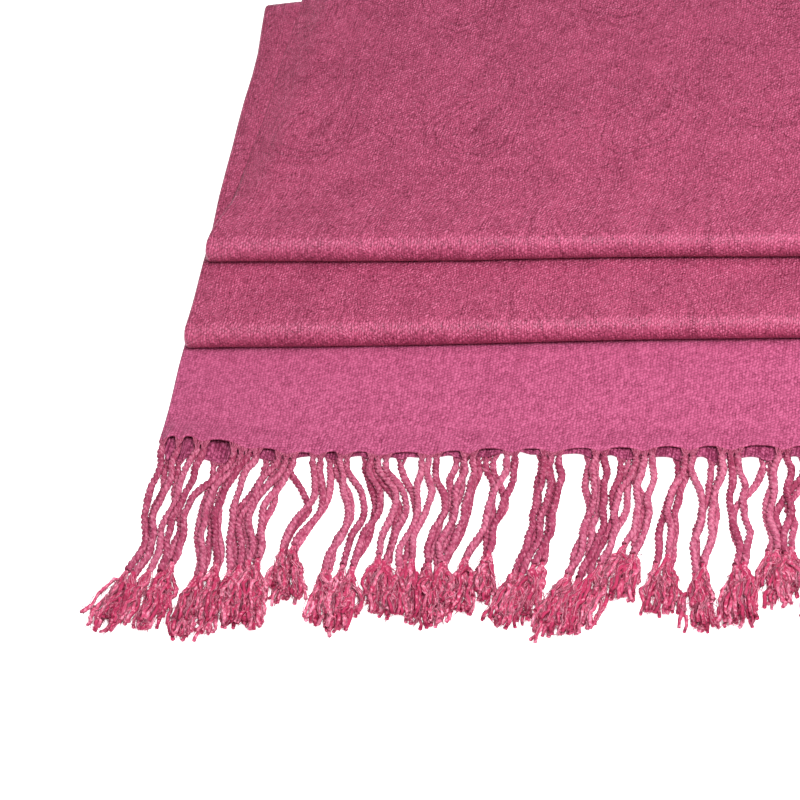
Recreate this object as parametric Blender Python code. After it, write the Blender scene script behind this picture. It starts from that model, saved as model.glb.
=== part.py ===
"""A fringed stole, folded flat.

The woven length is folded once lengthwise, so it is half as wide and two plies thick, with the
fold on the left and the two selvedges on the right. It is then laid to and fro in nine passes.
The lowest pass ends in front in a plain band with a twisted fringe. Above it two rounded
noses step back, and the last pass is the top panel.

Lengths are in millimetres until a mesh is made. X runs to the right along the hem, Y to the
back, Z up. Each piece is first laid out straight and is then settled as cloth lies.
"""

import math

import bmesh
import bpy
import numpy as np
from mathutils import Matrix

MM = 0.001

# Cloth
FOLDED_WIDTH = 350.0
PLY = 1.0
PLY_GAP = 0.5
PASS = 2 * PLY + PLY_GAP
PASS_GAP = 0.4
PITCH = PASS + PASS_GAP
SEAM = 0.4

# Where the folds lie, measured back from the hem
BACK = 230.0
BAND_BACK = BACK - 3.0
MIDDLE_NOSE = 50.6
TOP_NOSE = 84.5
FLAP_BACK = BACK + 5.0
TUCK = 34.0
RETURN_BAND = 12.0
RETURN_FLAP = 36.0

ROW_STEP = 20.0
BAND_STEP = 58.0

# Settling: the hem runs forward from its left corner and bows a little, the top panel lies
# askew, and the stack rises and falls
HEM_LEFT, HEM_RIGHT = -2.2, 5.0
HEM_RUN = 55.0
HEM_BOW = 0.9
HEM_BOW_AT = 90.0
HEM_BOW_REACH = 22.0
TOP_SKEW = 4.0 / 228.0
FADE = 60.0
SWELL = 0.024
WAVE_X, WAVE_Y = 52.0, 61.0
RIPPLE_X, RIPPLE_Y = 23.0, 70.0

# Edges of the plies
SELVEDGE_DIP = 1.6
LEAD_LEFT, LEAD_MIDDLE, LEAD_RIGHT = 8.0, 0.8, 4.2
LEAD_FALLS = (12.0, 42.0)
LEAD_RISES = (125.0, 80.0)
FOLD_EASE = 5.0
GATHER_PULL = 0.5
ARCH_LIFT_LEFT, ARCH_LIFT = 3.2, 1.4
ARCH_LIFT_RUN = (20.0, 30.0)
ARCH_RETREAT = 0.7
ARCH_DEPTH = 12.0
ARCH_WIDE = 12.0
ARCH_FULLNESS = 0.8

# Cords
CORD_WIDTH = 2.2
CORD_THICK = 2.2
CORD_CLEAR = 0.3
STRIP_CLEAR = 0.1
LOWER_CORD_Z = CORD_CLEAR + CORD_THICK / 2.0
UPPER_CORD_Z = LOWER_CORD_Z + CORD_THICK + 0.4
STRIP_DEPTH = 1.6
STRIP_END = 0.4
ROOT_STEP = 2.85
TUFT_WIDTH = 4.0
CORD_APART = 0.5
CORD_SWAY = 1.3
CORD_SHORT = 9.0
INNER_SHORT = 0.4
SEED = 11

# Left edge of each pass at the front and at the back of the stack
PASS_EDGES = (
    # front, back
    (-1.4, 1.5),
    (0.6, 2.0),
    (1.6, 4.2),
    (2.2, 4.8),
    (0.2, 6.6),
    (5.6, 5.0),
    (5.4, 4.4),
    (8.0, 17.0),
    (9.4, 21.6),
)
EDGE_FRONT, EDGE_BACK = 50.0, 227.0

# Gathers of the hem: where the upper ply's edge pulls forward, how many cords leave it there,
# how many leave the lower ply before the next gather, and how far along that way they do
GATHERS = (
    # x, upper cords, lower cords, share
    (0.0, 1, 1, 0.50),
    (6.3, 2, 1, 0.10),
    (14.8, 3, 3, 0.50),
    (31.9, 3, 2, 0.62),
    (47.3, 2, 2, 0.00),
    (58.4, 2, 2, 0.62),
    (68.3, 2, 2, 0.72),
    (81.2, 3, 1, 0.41),
    (99.5, 3, 2, 0.78),
    (113.7, 2, 3, 0.40),
    (128.8, 2, 2, 0.82),
    (143.3, 3, 2, 0.85),
    (160.5, 2, 3, 0.65),
    (176.0, 3, 2, 0.84),
    (191.8, 2, 2, 0.66),
    (206.1, 3, 2, 0.70),
    (224.5, 2, 3, 0.60),
    (241.0, 3, 2, 0.80),
    (257.0, 2, 2, 0.30),
    (272.5, 2, 3, 0.62),
    (289.0, 3, 2, 0.75),
    (304.5, 2, 2, 0.35),
    (320.5, 3, 2, 0.80),
    (336.0, 2, 2, 0.55),
    (346.6, 1, 0, 0.00),
)

# Bunches of cords, from the left: how many cords of each ply, the left and right side of the
# bunch a third of the way out, two thirds out and at its tips, and how far the tips reach
BUNCHES = (
    # upper, lower, mid_l, mid_r, low_l, low_r, tip_l, tip_r, reach
    (5, 2, -1.0, 17.8, -1.4, 16.2, -12.0, 16.5, 87),
    (2, 3, 18.8, 28.6, 20.6, 32.0, 19.0, 32.1, 93),
    (4, 3, 29.5, 45.9, 33.4, 46.0, 35.8, 48.0, 89),
    (2, 2, 56.5, 67.0, 50.4, 58.8, 50.0, 60.8, 77),
    (3, 2, 72.4, 86.2, 67.0, 81.6, 65.7, 82.4, 89),
    (4, 2, 88.9, 103.6, 84.8, 101.0, 86.2, 102.9, 85),
    (3, 3, 106.1, 118.1, 103.1, 114.0, 104.2, 115.2, 87),
    (2, 2, 122.6, 131.2, 117.6, 127.4, 116.4, 127.7, 82),
    (3, 2, 138.6, 149.0, 135.6, 145.4, 129.6, 143.4, 88),
    (3, 4, 156.1, 172.1, 154.0, 168.1, 145.8, 163.4, 91),
    (2, 1, 174.2, 181.6, 172.4, 179.8, 166.0, 178.4, 82),
    (1, 2, 183.2, 190.8, 181.7, 191.3, 181.0, 193.2, 82),
    (2, 2, 196.0, 204.4, 194.3, 203.6, 195.1, 205.8, 88),
    (2, 1, 206.6, 214.4, 207.9, 216.6, 207.5, 218.2, 89),
    (2, 3, 218.3, 230.8, 219.7, 231.0, 220.0, 233.0, 77),
    (3, 3, 238.0, 252.0, 237.0, 250.0, 236.0, 251.0, 88),
    (3, 2, 256.0, 269.0, 254.0, 266.6, 252.6, 267.0, 92),
    (3, 3, 275.0, 288.4, 272.0, 284.0, 269.0, 284.6, 85),
    (2, 2, 292.0, 302.6, 291.0, 300.6, 289.6, 301.0, 79),
    (2, 1, 305.4, 314.6, 304.0, 313.2, 302.6, 314.0, 90),
    (2, 2, 317.6, 329.0, 316.6, 328.0, 317.0, 331.0, 86),
    (3, 3, 332.4, 346.6, 331.0, 345.0, 334.0, 352.0, 91),
)
MID_AT, LOW_AT = 0.36, 0.62

COLOURS = {
    "damask_cloth": (0.445, 0.089, 0.165),
    "plain_cloth": (0.602, 0.122, 0.254),
    "fringe_cord": (0.533, 0.117, 0.205),
}
ROUGHNESS = 0.85
CREASE_ANGLE = 40.0


def lerp(a, b, t):
    return a + (b - a) * t


def smooth(t):
    """Eases from 0 to 1, flat at both ends."""
    t = min(max(t, 0.0), 1.0)
    return t * t * (3.0 - 2.0 * t)


# Settling: one smooth map for every piece, so that what is apart stays apart


def settled(x, y, z):
    """Where a point of the straight layout comes to lie."""
    bow = lerp(HEM_LEFT, HEM_RIGHT, smooth(x / HEM_RUN))
    bow += HEM_BOW * math.exp(-(((x - HEM_BOW_AT) / HEM_BOW_REACH) ** 2))
    at_hem = smooth(1.0 + y / FADE) if y < 0 else smooth(1.0 - y / MIDDLE_NOSE)
    at_top = smooth((y - MIDDLE_NOSE) / (TOP_NOSE - MIDDLE_NOSE)) * smooth((EDGE_BACK - y) / FADE)
    forward = bow * at_hem + TOP_SKEW * x * at_top
    swell = 0.6 * math.sin(x / WAVE_X + 0.6) * math.sin(y / WAVE_Y + 1.1)
    swell += 0.4 * math.sin(x / RIPPLE_X + y / RIPPLE_Y)
    rise = 1.0 + SWELL * swell * smooth((y + ROW_STEP) / FADE)
    return (x * MM, (y - forward) * MM, z * rise * MM)


def left_edge(number, y):
    """X of a pass's lengthwise fold at y."""
    front, back = PASS_EDGES[number]
    return lerp(front, back, (y - EDGE_FRONT) / (EDGE_BACK - EDGE_FRONT))


def pass_middle(number):
    return number * PITCH + PASS / 2.0


# Meshes


def material(name):
    made = bpy.data.materials.new(name)
    made.use_nodes = True
    shader = made.node_tree.nodes["Principled BSDF"]
    shader.inputs["Base Color"].default_value = (*COLOURS[name], 1.0)
    shader.inputs["Roughness"].default_value = ROUGHNESS
    shader.inputs["Metallic"].default_value = 0.0
    return made


def make_object(name, points, faces, cloth):
    """One closed body from straight-layout points and faces in any winding."""
    mesh = bpy.data.meshes.new(name)
    mesh.from_pydata([settled(*p) for p in points], [], faces)
    mesh.materials.append(cloth)
    body = bmesh.new()
    body.from_mesh(mesh)
    bmesh.ops.recalc_face_normals(body, faces=body.faces)
    bmesh.ops.triangulate(body, faces=[f for f in body.faces if len(f.verts) > 4])
    body.to_mesh(mesh)
    body.free()
    mesh.shade_smooth()
    mesh.set_sharp_from_angle(angle=math.radians(CREASE_ANGLE))
    made = bpy.data.objects.new(name, mesh)
    bpy.context.scene.collection.objects.link(made)
    return made


def ring_faces(first, second):
    """Quads between two closed rings of as many points."""
    count = len(first)
    return [
        (first[i], first[(i + 1) % count], second[(i + 1) % count], second[i])
        for i in range(count)
    ]


def zip_rows(row_a, row_b):
    """Faces between two open rows of (place, point) pairs that may differ in number."""
    faces = []
    i = j = 0
    while i < len(row_a) - 1 or j < len(row_b) - 1:
        next_a = row_a[i + 1][0] if i < len(row_a) - 1 else math.inf
        next_b = row_b[j + 1][0] if j < len(row_b) - 1 else math.inf
        a, b = row_a[i][1], row_b[j][1]
        if abs(next_a - next_b) < 1e-9:
            faces.append((a, row_a[i + 1][1], row_b[j + 1][1], b))
            i, j = i + 1, j + 1
        elif next_a < next_b:
            faces.append((a, row_a[i + 1][1], b))
            i += 1
        else:
            faces.append((a, row_b[j + 1][1], b))
            j += 1
    return faces


# The line that the passes follow, seen from the left


def evenly(start, end, step):
    """Places from start to end, about a step apart."""
    pieces = max(1, round(abs(end - start) / step))
    return [lerp(start, end, i / pieces) for i in range(pieces + 1)]


def fold_path(legs, turn_steps):
    """Stations along legs of (pass, places in y), joined by half turns.

    A station is (y, z, normal y, normal z, pass before, pass after, share of the turn).
    """
    stations = []
    for index, (number, places) in enumerate(legs):
        way = math.copysign(1.0, places[-1] - places[0])
        stations += [(y, pass_middle(number), 0.0, way, number, number, 0.0) for y in places]
        if index + 1 == len(legs):
            break
        after = legs[index + 1][0]
        rise = math.copysign(1.0, after - number)
        centre = (pass_middle(number) + pass_middle(after)) / 2.0
        radius = abs(pass_middle(after) - centre)
        for i in range(1, turn_steps):
            angle = math.pi * (i / turn_steps - 0.5)
            out, up = math.cos(angle), math.sin(angle)
            y, z = places[-1] + way * radius * out, centre + rise * radius * up
            stations.append((y, z, -rise * out, -way * up, number, after, i / turn_steps))
    return stations


def station_edge(station):
    y, _, _, _, before, after, share = station
    return lerp(left_edge(before, y), left_edge(after, y), share)


def station_point(station, x, height):
    """A point of the cloth at x, at a height through its thickness."""
    y, z, normal_y, normal_z = station[:4]
    off = height - PASS / 2.0
    return (x, y + normal_y * off, z + normal_z * off)


# Folded stretches: two plies as one wall, round at the fold, parted at the selvedges


def wall_section(columns):
    """Ring of (x from the left edge, height) through a double-ply wall."""
    half = PASS / 2.0
    run = [half + (FOLDED_WIDTH - half) * i / columns for i in range(columns + 1)]
    section = [(x, 0.0) for x in run]
    section += [(FOLDED_WIDTH, PLY), (FOLDED_WIDTH - SELVEDGE_DIP, half), (FOLDED_WIDTH, PASS - PLY)]
    section += [(x, PASS) for x in reversed(run)]
    for angle in (135, 180, 225):
        turn = math.radians(angle)
        section.append((half + half * math.cos(turn), half + half * math.sin(turn)))
    return section


def folded_stretch(name, legs, cloth, columns=14, turn_steps=7):
    section = wall_section(columns)
    points, faces, rings = [], [], []
    for station in fold_path(legs, turn_steps):
        edge = station_edge(station)
        rings.append(range(len(points), len(points) + len(section)))
        points += [station_point(station, edge + x, height) for x, height in section]
    for first, second in zip(rings, rings[1:]):
        faces += ring_faces(first, second)
    for ring in (rings[0], rings[-1]):
        faces += section_cap(ring, columns)
    return make_object(name, points, faces, cloth)


def section_cap(ring, columns):
    """Closes the end of a wall with quads across it, and a fan at each edge."""
    lower, upper = ring[: columns + 1], ring[columns + 4 : 2 * columns + 5][::-1]
    faces = [(lower[i], lower[i + 1], upper[i + 1], upper[i]) for i in range(columns)]
    faces.append((lower[-1], *ring[columns + 1 : columns + 4], upper[-1]))
    faces.append((upper[0], *ring[2 * columns + 5 :], lower[0]))
    return faces


# The end band: one ply, folded round on the left, its upper edge arched between the gathers

UPPER_GATHERS = [x for x, _, _, _ in GATHERS]
LOWER_GATHERS = [
    lerp(here[0], following[0], here[3]) for here, following in zip(GATHERS, GATHERS[1:])
]


def arch(x):
    """0 at a gather and 1 at the crown of an arch between two."""
    for left, right in zip(UPPER_GATHERS, UPPER_GATHERS[1:]):
        if left <= x <= right:
            crown = max(0.0, math.sin(math.pi * (x - left) / (right - left)))
            return smooth((right - left) / ARCH_WIDE) * crown**ARCH_FULLNESS
    return 0.0


def past(x, span):
    """0 before a span of (start, length) and 1 after it."""
    return smooth((x - span[0]) / span[1])


def hem_point(x, upper):
    """(y, lift) of a ply's edge; the plies meet at the fold on the left."""
    from_fold = smooth((x - left_edge(0, 0.0)) / FOLD_EASE)
    if upper:
        lift = lerp(ARCH_LIFT_LEFT, ARCH_LIFT, past(x, ARCH_LIFT_RUN))
        return from_fold * (ARCH_RETREAT * arch(x) - GATHER_PULL), from_fold * lift * arch(x)
    lead = lerp(LEAD_LEFT, LEAD_MIDDLE, past(x, LEAD_FALLS))
    lead += (LEAD_RIGHT - LEAD_MIDDLE) * past(x, LEAD_RISES)
    return -from_fold * lead, 0.0


def band_row(edge, lower_xs, upper_xs):
    """Middle of the ply across the band: (place, x, height, outward x, outward height)."""
    radius = (PLY + PLY_GAP) / 2.0
    start = edge + radius
    width = FOLDED_WIDTH - radius
    row = [(1.0 - (x - start) / width, x, PLY / 2.0, 0.0, -1.0) for x in reversed(lower_xs)]
    for i in range(1, 4):
        turn = math.radians(-90.0 - 45.0 * i)
        out, up = math.cos(turn), math.sin(turn)
        row.append((1.0 + i / 4.0, start + radius * out, PASS / 2.0 + radius * up, out, up))
    row += [(2.0 + (x - start) / width, x, PASS - PLY / 2.0, 0.0, 1.0) for x in upper_xs]
    return row


def hem_columns(edge, per_arch):
    """Places along a ply's edge: at each gather and evenly between."""
    start, end = edge + (PLY + PLY_GAP) / 2.0, edge + FOLDED_WIDTH
    xs = [start]
    for left, right in zip(UPPER_GATHERS, UPPER_GATHERS[1:]):
        xs += [lerp(left, right, i / per_arch) for i in range(per_arch)]
    xs += [UPPER_GATHERS[-1], end]
    return [x for i, x in enumerate(xs) if i == 0 or x > xs[i - 1] + 0.5]


def end_band(cloth, columns=16):
    legs = (
        (0, [0.0, ARCH_DEPTH] + evenly(EDGE_FRONT, BAND_BACK, BAND_STEP)),
        (1, [BAND_BACK, BAND_BACK - RETURN_BAND]),
    )
    points, faces, rows = [], [], []
    for index, station in enumerate(fold_path(legs, 5)):
        edge = station_edge(station)
        if index < 2:
            lower_xs, upper_xs = hem_columns(edge, 2 - index), hem_columns(edge, 4 - 3 * index)
        else:
            start = edge + (PLY + PLY_GAP) / 2.0
            end = edge + FOLDED_WIDTH
            lower_xs = upper_xs = [lerp(start, end, i / columns) for i in range(columns + 1)]
        outer, inner = [], []
        for place, x, height, out_x, out_h in band_row(edge, lower_xs, upper_xs):
            for side, shell in ((PLY / 2.0, outer), (-PLY / 2.0, inner)):
                point = station_point(station, x + side * out_x, height + side * out_h)
                if index == 0 and not 1.0 < place < 2.0:
                    lead, lift = hem_point(x, place >= 2.0)
                    point = (point[0], point[1] + lead, point[2] + lift)
                shell.append((place, len(points)))
                points.append(point)
        rows.append((outer, inner))
    for (outer_a, inner_a), (outer_b, inner_b) in zip(rows, rows[1:]):
        faces += zip_rows(outer_a, outer_b)
        faces += zip_rows(inner_a, inner_b)
        for end in (0, -1):
            faces.append((outer_a[end][1], outer_b[end][1], inner_b[end][1], inner_a[end][1]))
    for outer, inner in (rows[0], rows[-1]):
        for i in range(len(outer) - 1):
            faces.append((outer[i][1], outer[i + 1][1], inner[i + 1][1], inner[i][1]))
    return make_object("end_band", points, faces, cloth)


# Hidden layers: one solid, a bulge for each pass at its edges

LAYERS = (
    # pass, front, back
    (1, MIDDLE_NOSE + TUCK + SEAM, BAND_BACK - RETURN_BAND - SEAM),
    (2, MIDDLE_NOSE, BACK - 1.0),
    (3, MIDDLE_NOSE, BACK),
    (4, TOP_NOSE + TUCK + SEAM, BACK),
    (5, TOP_NOSE + TUCK + SEAM, BACK - 1.0),
    (6, TOP_NOSE, BACK),
    (7, TOP_NOSE, FLAP_BACK - RETURN_FLAP - SEAM),
)
NOSE_PAIRS = {2: (2, 3), 3: (2, 3), 6: (6, 7), 7: (6, 7)}
LAYER_HEIGHTS = (0.15, PASS / 2.0, PASS - 0.15)
CORNER = 3.0
WEB = 0.06


def nose_reach(number, z):
    """How far a layer's round front reaches past the line that it turns on."""
    if number not in NOSE_PAIRS:
        return 0.0
    low, high = (pass_middle(n) for n in NOSE_PAIRS[number])
    radius = (high - low + PASS) / 2.0
    return math.sqrt(max(0.0, radius**2 - (z - (low + high) / 2.0) ** 2))


def plan_ring(number, front, back, z, left_in=0.8, right_in=0.2, across=8, along=4):
    """Outline of one layer seen from above, with round corners."""

    def left(y):
        return left_edge(number, y) + left_in

    def right(y):
        return left_edge(number, y) + FOLDED_WIDTH - right_in

    corners = (
        # x, y, way in, way out, pieces of the side that follows
        (left(front), front, (-1, 0), (0, 1), along),
        (left(back), back, (0, 1), (1, 0), across),
        (right(back), back, (1, 0), (0, -1), along),
        (right(front), front, (0, -1), (-1, 0), across),
    )
    arcs = []
    for x, y, (in_x, in_y), (out_x, out_y), _ in corners:
        arc = []
        for angle in (0.0, math.pi / 4.0, math.pi / 2.0):
            short = CORNER * (1.0 - math.sin(angle))
            past = CORNER * (1.0 - math.cos(angle))
            arc.append((x - in_x * short + out_x * past, y - in_y * short + out_y * past, z))
        arcs.append(arc)
    ring = []
    for index, arc in enumerate(arcs):
        start, end, pieces = arc[-1], arcs[(index + 1) % 4][0], corners[index][4]
        ring += arc
        ring += [tuple(lerp(a, b, i / pieces) for a, b in zip(start, end)) for i in range(1, pieces)]
    return ring


def layer_rings(number, front, back):
    """Rings up through one layer: round at its folds, parted between its selvedges."""
    rings = []
    for height in LAYER_HEIGHTS:
        z = number * PITCH + height
        inset = PASS / 2.0 - math.sqrt((PASS / 2.0) ** 2 - (height - PASS / 2.0) ** 2)
        right_in = SELVEDGE_DIP if height == PASS / 2.0 else 0.2
        nose = front - nose_reach(number, z)
        rings.append(plan_ring(number, nose, back - inset, z, inset, right_in))
    return rings


def hidden_layers(cloth):
    outlines = []
    for index, (number, front, back) in enumerate(LAYERS):
        outlines += layer_rings(number, front, back)
        if index + 1 == len(LAYERS):
            break
        above, front_above, back_above = LAYERS[index + 1]
        if max(abs(front_above - front), abs(back_above - back)) > CORNER:
            waist = (max(front, front_above), min(back, back_above) - 1.0)
            outlines.append(plan_ring(number, *waist, number * PITCH + PASS - WEB))
            outlines.append(plan_ring(above, *waist, above * PITCH + WEB))
    points, faces, rings = [], [], []
    for outline in outlines:
        rings.append(range(len(points), len(points) + len(outline)))
        points += outline
    for first, second in zip(rings, rings[1:]):
        faces += ring_faces(first, second)
    faces += [tuple(rings[0]), tuple(rings[-1])]
    return make_object("hidden_layers", points, faces, cloth)


# Fringe: cords drawn out of a narrow strip along a ply's edge


def cord_roots(upper):
    """X where each cord of a ply leaves its strip."""
    places = UPPER_GATHERS if upper else LOWER_GATHERS
    counts = [cords[0] if upper else cords[1] for _, *cords, _ in GATHERS]
    roots = []
    for x, count in zip(places, counts):
        roots += [x + (i - (count - 1) / 2.0) * ROOT_STEP for i in range(count)]
    return roots


def cord_lines(upper):
    """For each cord of a ply: places (x, y) out from the strip, and how wide its tuft may be."""
    rng = np.random.default_rng(SEED + upper)
    roots = iter(cord_roots(upper))
    lines = []
    for upper_cords, lower_cords, *sides, reach in BUNCHES:
        count = upper_cords if upper else lower_cords
        cells = [(sides[i + 1] - sides[i]) / count for i in (0, 2, 4)]
        free = [(cell - CORD_WIDTH - CORD_APART) / 2.0 for cell in cells]
        play = [max(0.0, min(CORD_SWAY, room)) for room in free]
        for i in range(count):
            sway = rng.uniform(-1.0, 1.0, 3)
            short = rng.uniform(0.0, CORD_SHORT) * (INNER_SHORT if 0 < i < count - 1 else 1.0)
            xs = [sides[2 * k] + cells[k] * (i + 0.5) + play[k] * sway[k] for k in range(3)]
            length = reach - short
            line = [(next(roots), 0.0)]
            line += [(x, -length * share) for x, share in zip(xs, (MID_AT, LOW_AT, 1.0))]
            lines.append((line, min(TUFT_WIDTH, cells[2] - 2.0 * play[2] - CORD_APART)))
    return lines


def on_curve(line, share):
    """The place at a share of the way out, on a smooth curve through a cord's four places."""
    knots = (0.0, MID_AT, LOW_AT, 1.0)
    k = max(i for i in range(3) if share >= knots[i])
    slopes = []
    for i in (k, k + 1):
        before, after = max(i - 1, 0), min(i + 1, 3)
        rise = (line[after][0] - line[before][0]) / (knots[after] - knots[before])
        slopes.append(0.0 if i == 0 else rise)
    span = knots[k + 1] - knots[k]
    t = (share - knots[k]) / span
    ease = smooth(t)
    x = lerp(line[k][0], line[k + 1][0], ease)
    x += span * (slopes[0] * t * (1 - t) ** 2 - slopes[1] * t**2 * (1 - t))
    return x, line[-1][1] * share


CORD_SECTIONS = (
    # share of the way out, share of the tuft's spread, thickness share
    (0.09, 0.0, 1.0),
    (0.24, 0.0, 1.0),
    (0.40, 0.0, 1.0),
    (0.60, 0.0, 1.0),
    (0.82, 1.0, 1.0),
    (1.00, 0.3, 0.5),
)


def strip_stops(lines, upper):
    """Places along a strip: its ends, both sides of each cord, and the middle of wide gaps."""
    start = left_edge(0, 0.0)
    stops = [start + STRIP_END, start + FOLDED_WIDTH - STRIP_END]
    for line, _ in lines:
        stops += [line[0][0] - CORD_WIDTH / 2.0, line[0][0] + CORD_WIDTH / 2.0]
    places = UPPER_GATHERS if upper else LOWER_GATHERS
    pairs = list(zip(places, places[1:]))
    stops += [(left + right) / 2.0 for left, right in pairs if right - left > ARCH_WIDE - 1.0]
    return sorted(stops)


def fringe(name, upper, cloth):
    lines = cord_lines(upper)
    low = PASS - PLY if upper else STRIP_CLEAR
    high = PASS if upper else PLY
    centre = UPPER_CORD_Z if upper else LOWER_CORD_Z
    stops = strip_stops(lines, upper)
    points, faces, rings, fronts = [], [], [], {}
    for x in stops:
        lead, lift = hem_point(x, upper)
        back, front = lead - SEAM, lead - SEAM - STRIP_DEPTH
        rings.append(range(len(points), len(points) + 4))
        points += [(x, back, low + lift), (x, back, high + lift)]
        points += [(x, front, high + lift), (x, front, low + lift)]
    for stop, first, second in zip(stops, rings, rings[1:]):
        back_side, top_side, _, low_side = ring_faces(first, second)
        faces += [back_side, top_side, low_side]
        fronts[stop] = (first[2], second[2], second[3], first[3])
    faces += [tuple(rings[0]), tuple(rings[-1])]
    for line, tuft in lines:
        ring = fronts.pop(line[0][0] - CORD_WIDTH / 2.0)
        start = points[ring[0]][1]
        for share, spread, thick_share in CORD_SECTIONS:
            x, y = on_curve(line, share)
            y += start * (1.0 - share)
            wide = lerp(CORD_WIDTH, tuft, spread) / 2.0
            thick = CORD_THICK * thick_share / 2.0
            section = range(len(points), len(points) + 4)
            points += [(x - wide, y, centre + thick), (x + wide, y, centre + thick)]
            points += [(x + wide, y, centre - thick), (x - wide, y, centre - thick)]
            faces += ring_faces(ring, section)
            ring = section
        faces.append(tuple(ring))
    faces += list(fronts.values())
    return make_object(name, points, faces, cloth)


def centre_on_floor(objects):
    """Moves the whole so that the origin is under the middle of its box."""
    corners = np.array([v.co for o in objects for v in o.data.vertices])
    middle = (corners.min(0) + corners.max(0)) / 2.0
    for o in objects:
        o.data.transform(Matrix.Translation((-middle[0], -middle[1], 0.0)))


def main():
    for old in list(bpy.data.objects):
        bpy.data.objects.remove(old, do_unlink=True)
    damask, plain, cord = (material(name) for name in COLOURS)
    middle_legs = (
        (1, evenly(MIDDLE_NOSE + TUCK, MIDDLE_NOSE, ROW_STEP)),
        (4, evenly(MIDDLE_NOSE, TOP_NOSE + TUCK, ROW_STEP)),
    )
    top_legs = (
        (5, evenly(TOP_NOSE + TUCK, TOP_NOSE, ROW_STEP)),
        (8, evenly(TOP_NOSE, FLAP_BACK, ROW_STEP)),
        (7, evenly(FLAP_BACK, FLAP_BACK - RETURN_FLAP, ROW_STEP)),
    )
    pieces = [
        end_band(plain),
        folded_stretch("middle_fold", middle_legs, damask),
        folded_stretch("top_fold", top_legs, damask),
        hidden_layers(damask),
        fringe("fringe_lower", False, cord),
        fringe("fringe_upper", True, cord),
    ]
    centre_on_floor(pieces)


main()
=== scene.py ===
# %% [markdown]
# # A folded stole with a twisted fringe
#
# The real object is one length of cloth, woven with a self-coloured paisley figure that stops short
# of a plain end. It is folded once along its length and laid to and fro in a stepped stack. The warp
# threads that stick out at its end are twisted into cords, and the cords' ends are left to fray.
#
# The frame holds the solids. Here each gets thin cloth, twisted cord or loose fibre laid on its form,
# and a finish made from nodes.

# %% Load the frame
import math

import bpy
import numpy as np
from mathutils import Matrix, Vector


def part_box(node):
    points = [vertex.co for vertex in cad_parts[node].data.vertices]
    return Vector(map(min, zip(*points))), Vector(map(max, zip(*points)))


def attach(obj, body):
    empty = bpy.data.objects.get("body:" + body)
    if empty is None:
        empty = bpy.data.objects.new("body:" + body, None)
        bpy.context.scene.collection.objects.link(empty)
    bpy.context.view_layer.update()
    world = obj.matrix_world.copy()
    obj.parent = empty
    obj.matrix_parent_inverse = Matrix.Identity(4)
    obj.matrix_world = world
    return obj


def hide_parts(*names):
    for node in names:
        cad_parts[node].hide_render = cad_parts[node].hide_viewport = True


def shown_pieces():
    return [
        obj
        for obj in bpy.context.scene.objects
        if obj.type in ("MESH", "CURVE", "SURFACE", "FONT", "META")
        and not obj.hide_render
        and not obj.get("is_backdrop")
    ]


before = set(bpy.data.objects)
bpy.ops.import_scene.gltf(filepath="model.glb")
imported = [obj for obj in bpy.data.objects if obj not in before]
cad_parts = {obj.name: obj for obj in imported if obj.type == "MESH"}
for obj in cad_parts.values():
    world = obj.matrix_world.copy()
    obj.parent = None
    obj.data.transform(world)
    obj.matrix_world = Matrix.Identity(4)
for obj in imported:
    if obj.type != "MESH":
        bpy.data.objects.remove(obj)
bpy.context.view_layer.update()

print("solids:", sorted(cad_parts))

# %% [markdown]
# ## The measures of the folded cloth
#
# Cloth folded in a stack is simplest to draw from its edge: a line that runs back, turns over, comes
# forward and turns again. Each straight stretch of it is a pass. Passes are numbered from the surface
# up, each a fixed step above the last. The same measures shaped the solids, so cloth laid by them lies
# on its solid.

# %% Measures of the stack, in millimetres
MM = 0.001
TURN = 2.0 * math.pi
FOLDED_WIDTH = 350.0
PLY, PASS, PITCH = 1.0, 2.5, 2.9
TOP_PASS = 8
BACK = 230.0
BAND_BACK = BACK - 3.0
MIDDLE_NOSE, TOP_NOSE = 50.6, 84.5
FLAP_BACK = BACK + 5.0
TUCK = 34.0
RETURN_BAND, RETURN_FLAP = 12.0, 36.0
EDGE_FRONT, EDGE_BACK = 50.0, 227.0

# Left edge of each pass from the surface up: at the front, and at the back
PASS_EDGES = np.array(
    (
        (-1.4, 0.6, 1.6, 2.2, 1.7, 5.0, 5.5, 8.0, 9.4),
        (1.5, 2.0, 4.2, 4.8, 6.6, 5.0, 4.4, 17.0, 20.2),
    )
)


def lerp(a, b, t):
    return a + (b - a) * t


def smooth(t):
    """Eases from 0 to 1, flat at both ends."""
    t = np.clip(t, 0.0, 1.0)
    return t * t * (3.0 - 2.0 * t)


def past(x, span):
    """0 before a span of (start, length) and 1 after it."""
    return smooth((x - span[0]) / span[1])


def bell(distance, reach):
    """1 in the middle, fading out past its reach."""
    return np.exp(-((distance / reach) ** 2))


def left_edge(number, y):
    """X of a pass's lengthwise fold at y."""
    return lerp(*PASS_EDGES[:, number], (y - EDGE_FRONT) / (EDGE_BACK - EDGE_FRONT))


def pass_middle(number):
    return number * PITCH + PASS / 2.0


print("top of the stack:", pass_middle(TOP_PASS) + PASS / 2.0, "mm")

# %% [markdown]
# ## How the cloth settles
#
# A stack laid out with a ruler looks like board. Real cloth bows, lies a little askew, and rises and
# falls over what is under it. One smooth map bends the whole layout, cords included, so pieces that
# lie side by side still do afterwards. It also turns millimetres into metres and puts the layout where
# the solids are, which it reads from the end band's box.
#
# On the left the lower layers show beside the top panel. There the panel sags on to them and they
# stand up a little, so its edge is a soft line and not a step.

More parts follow.
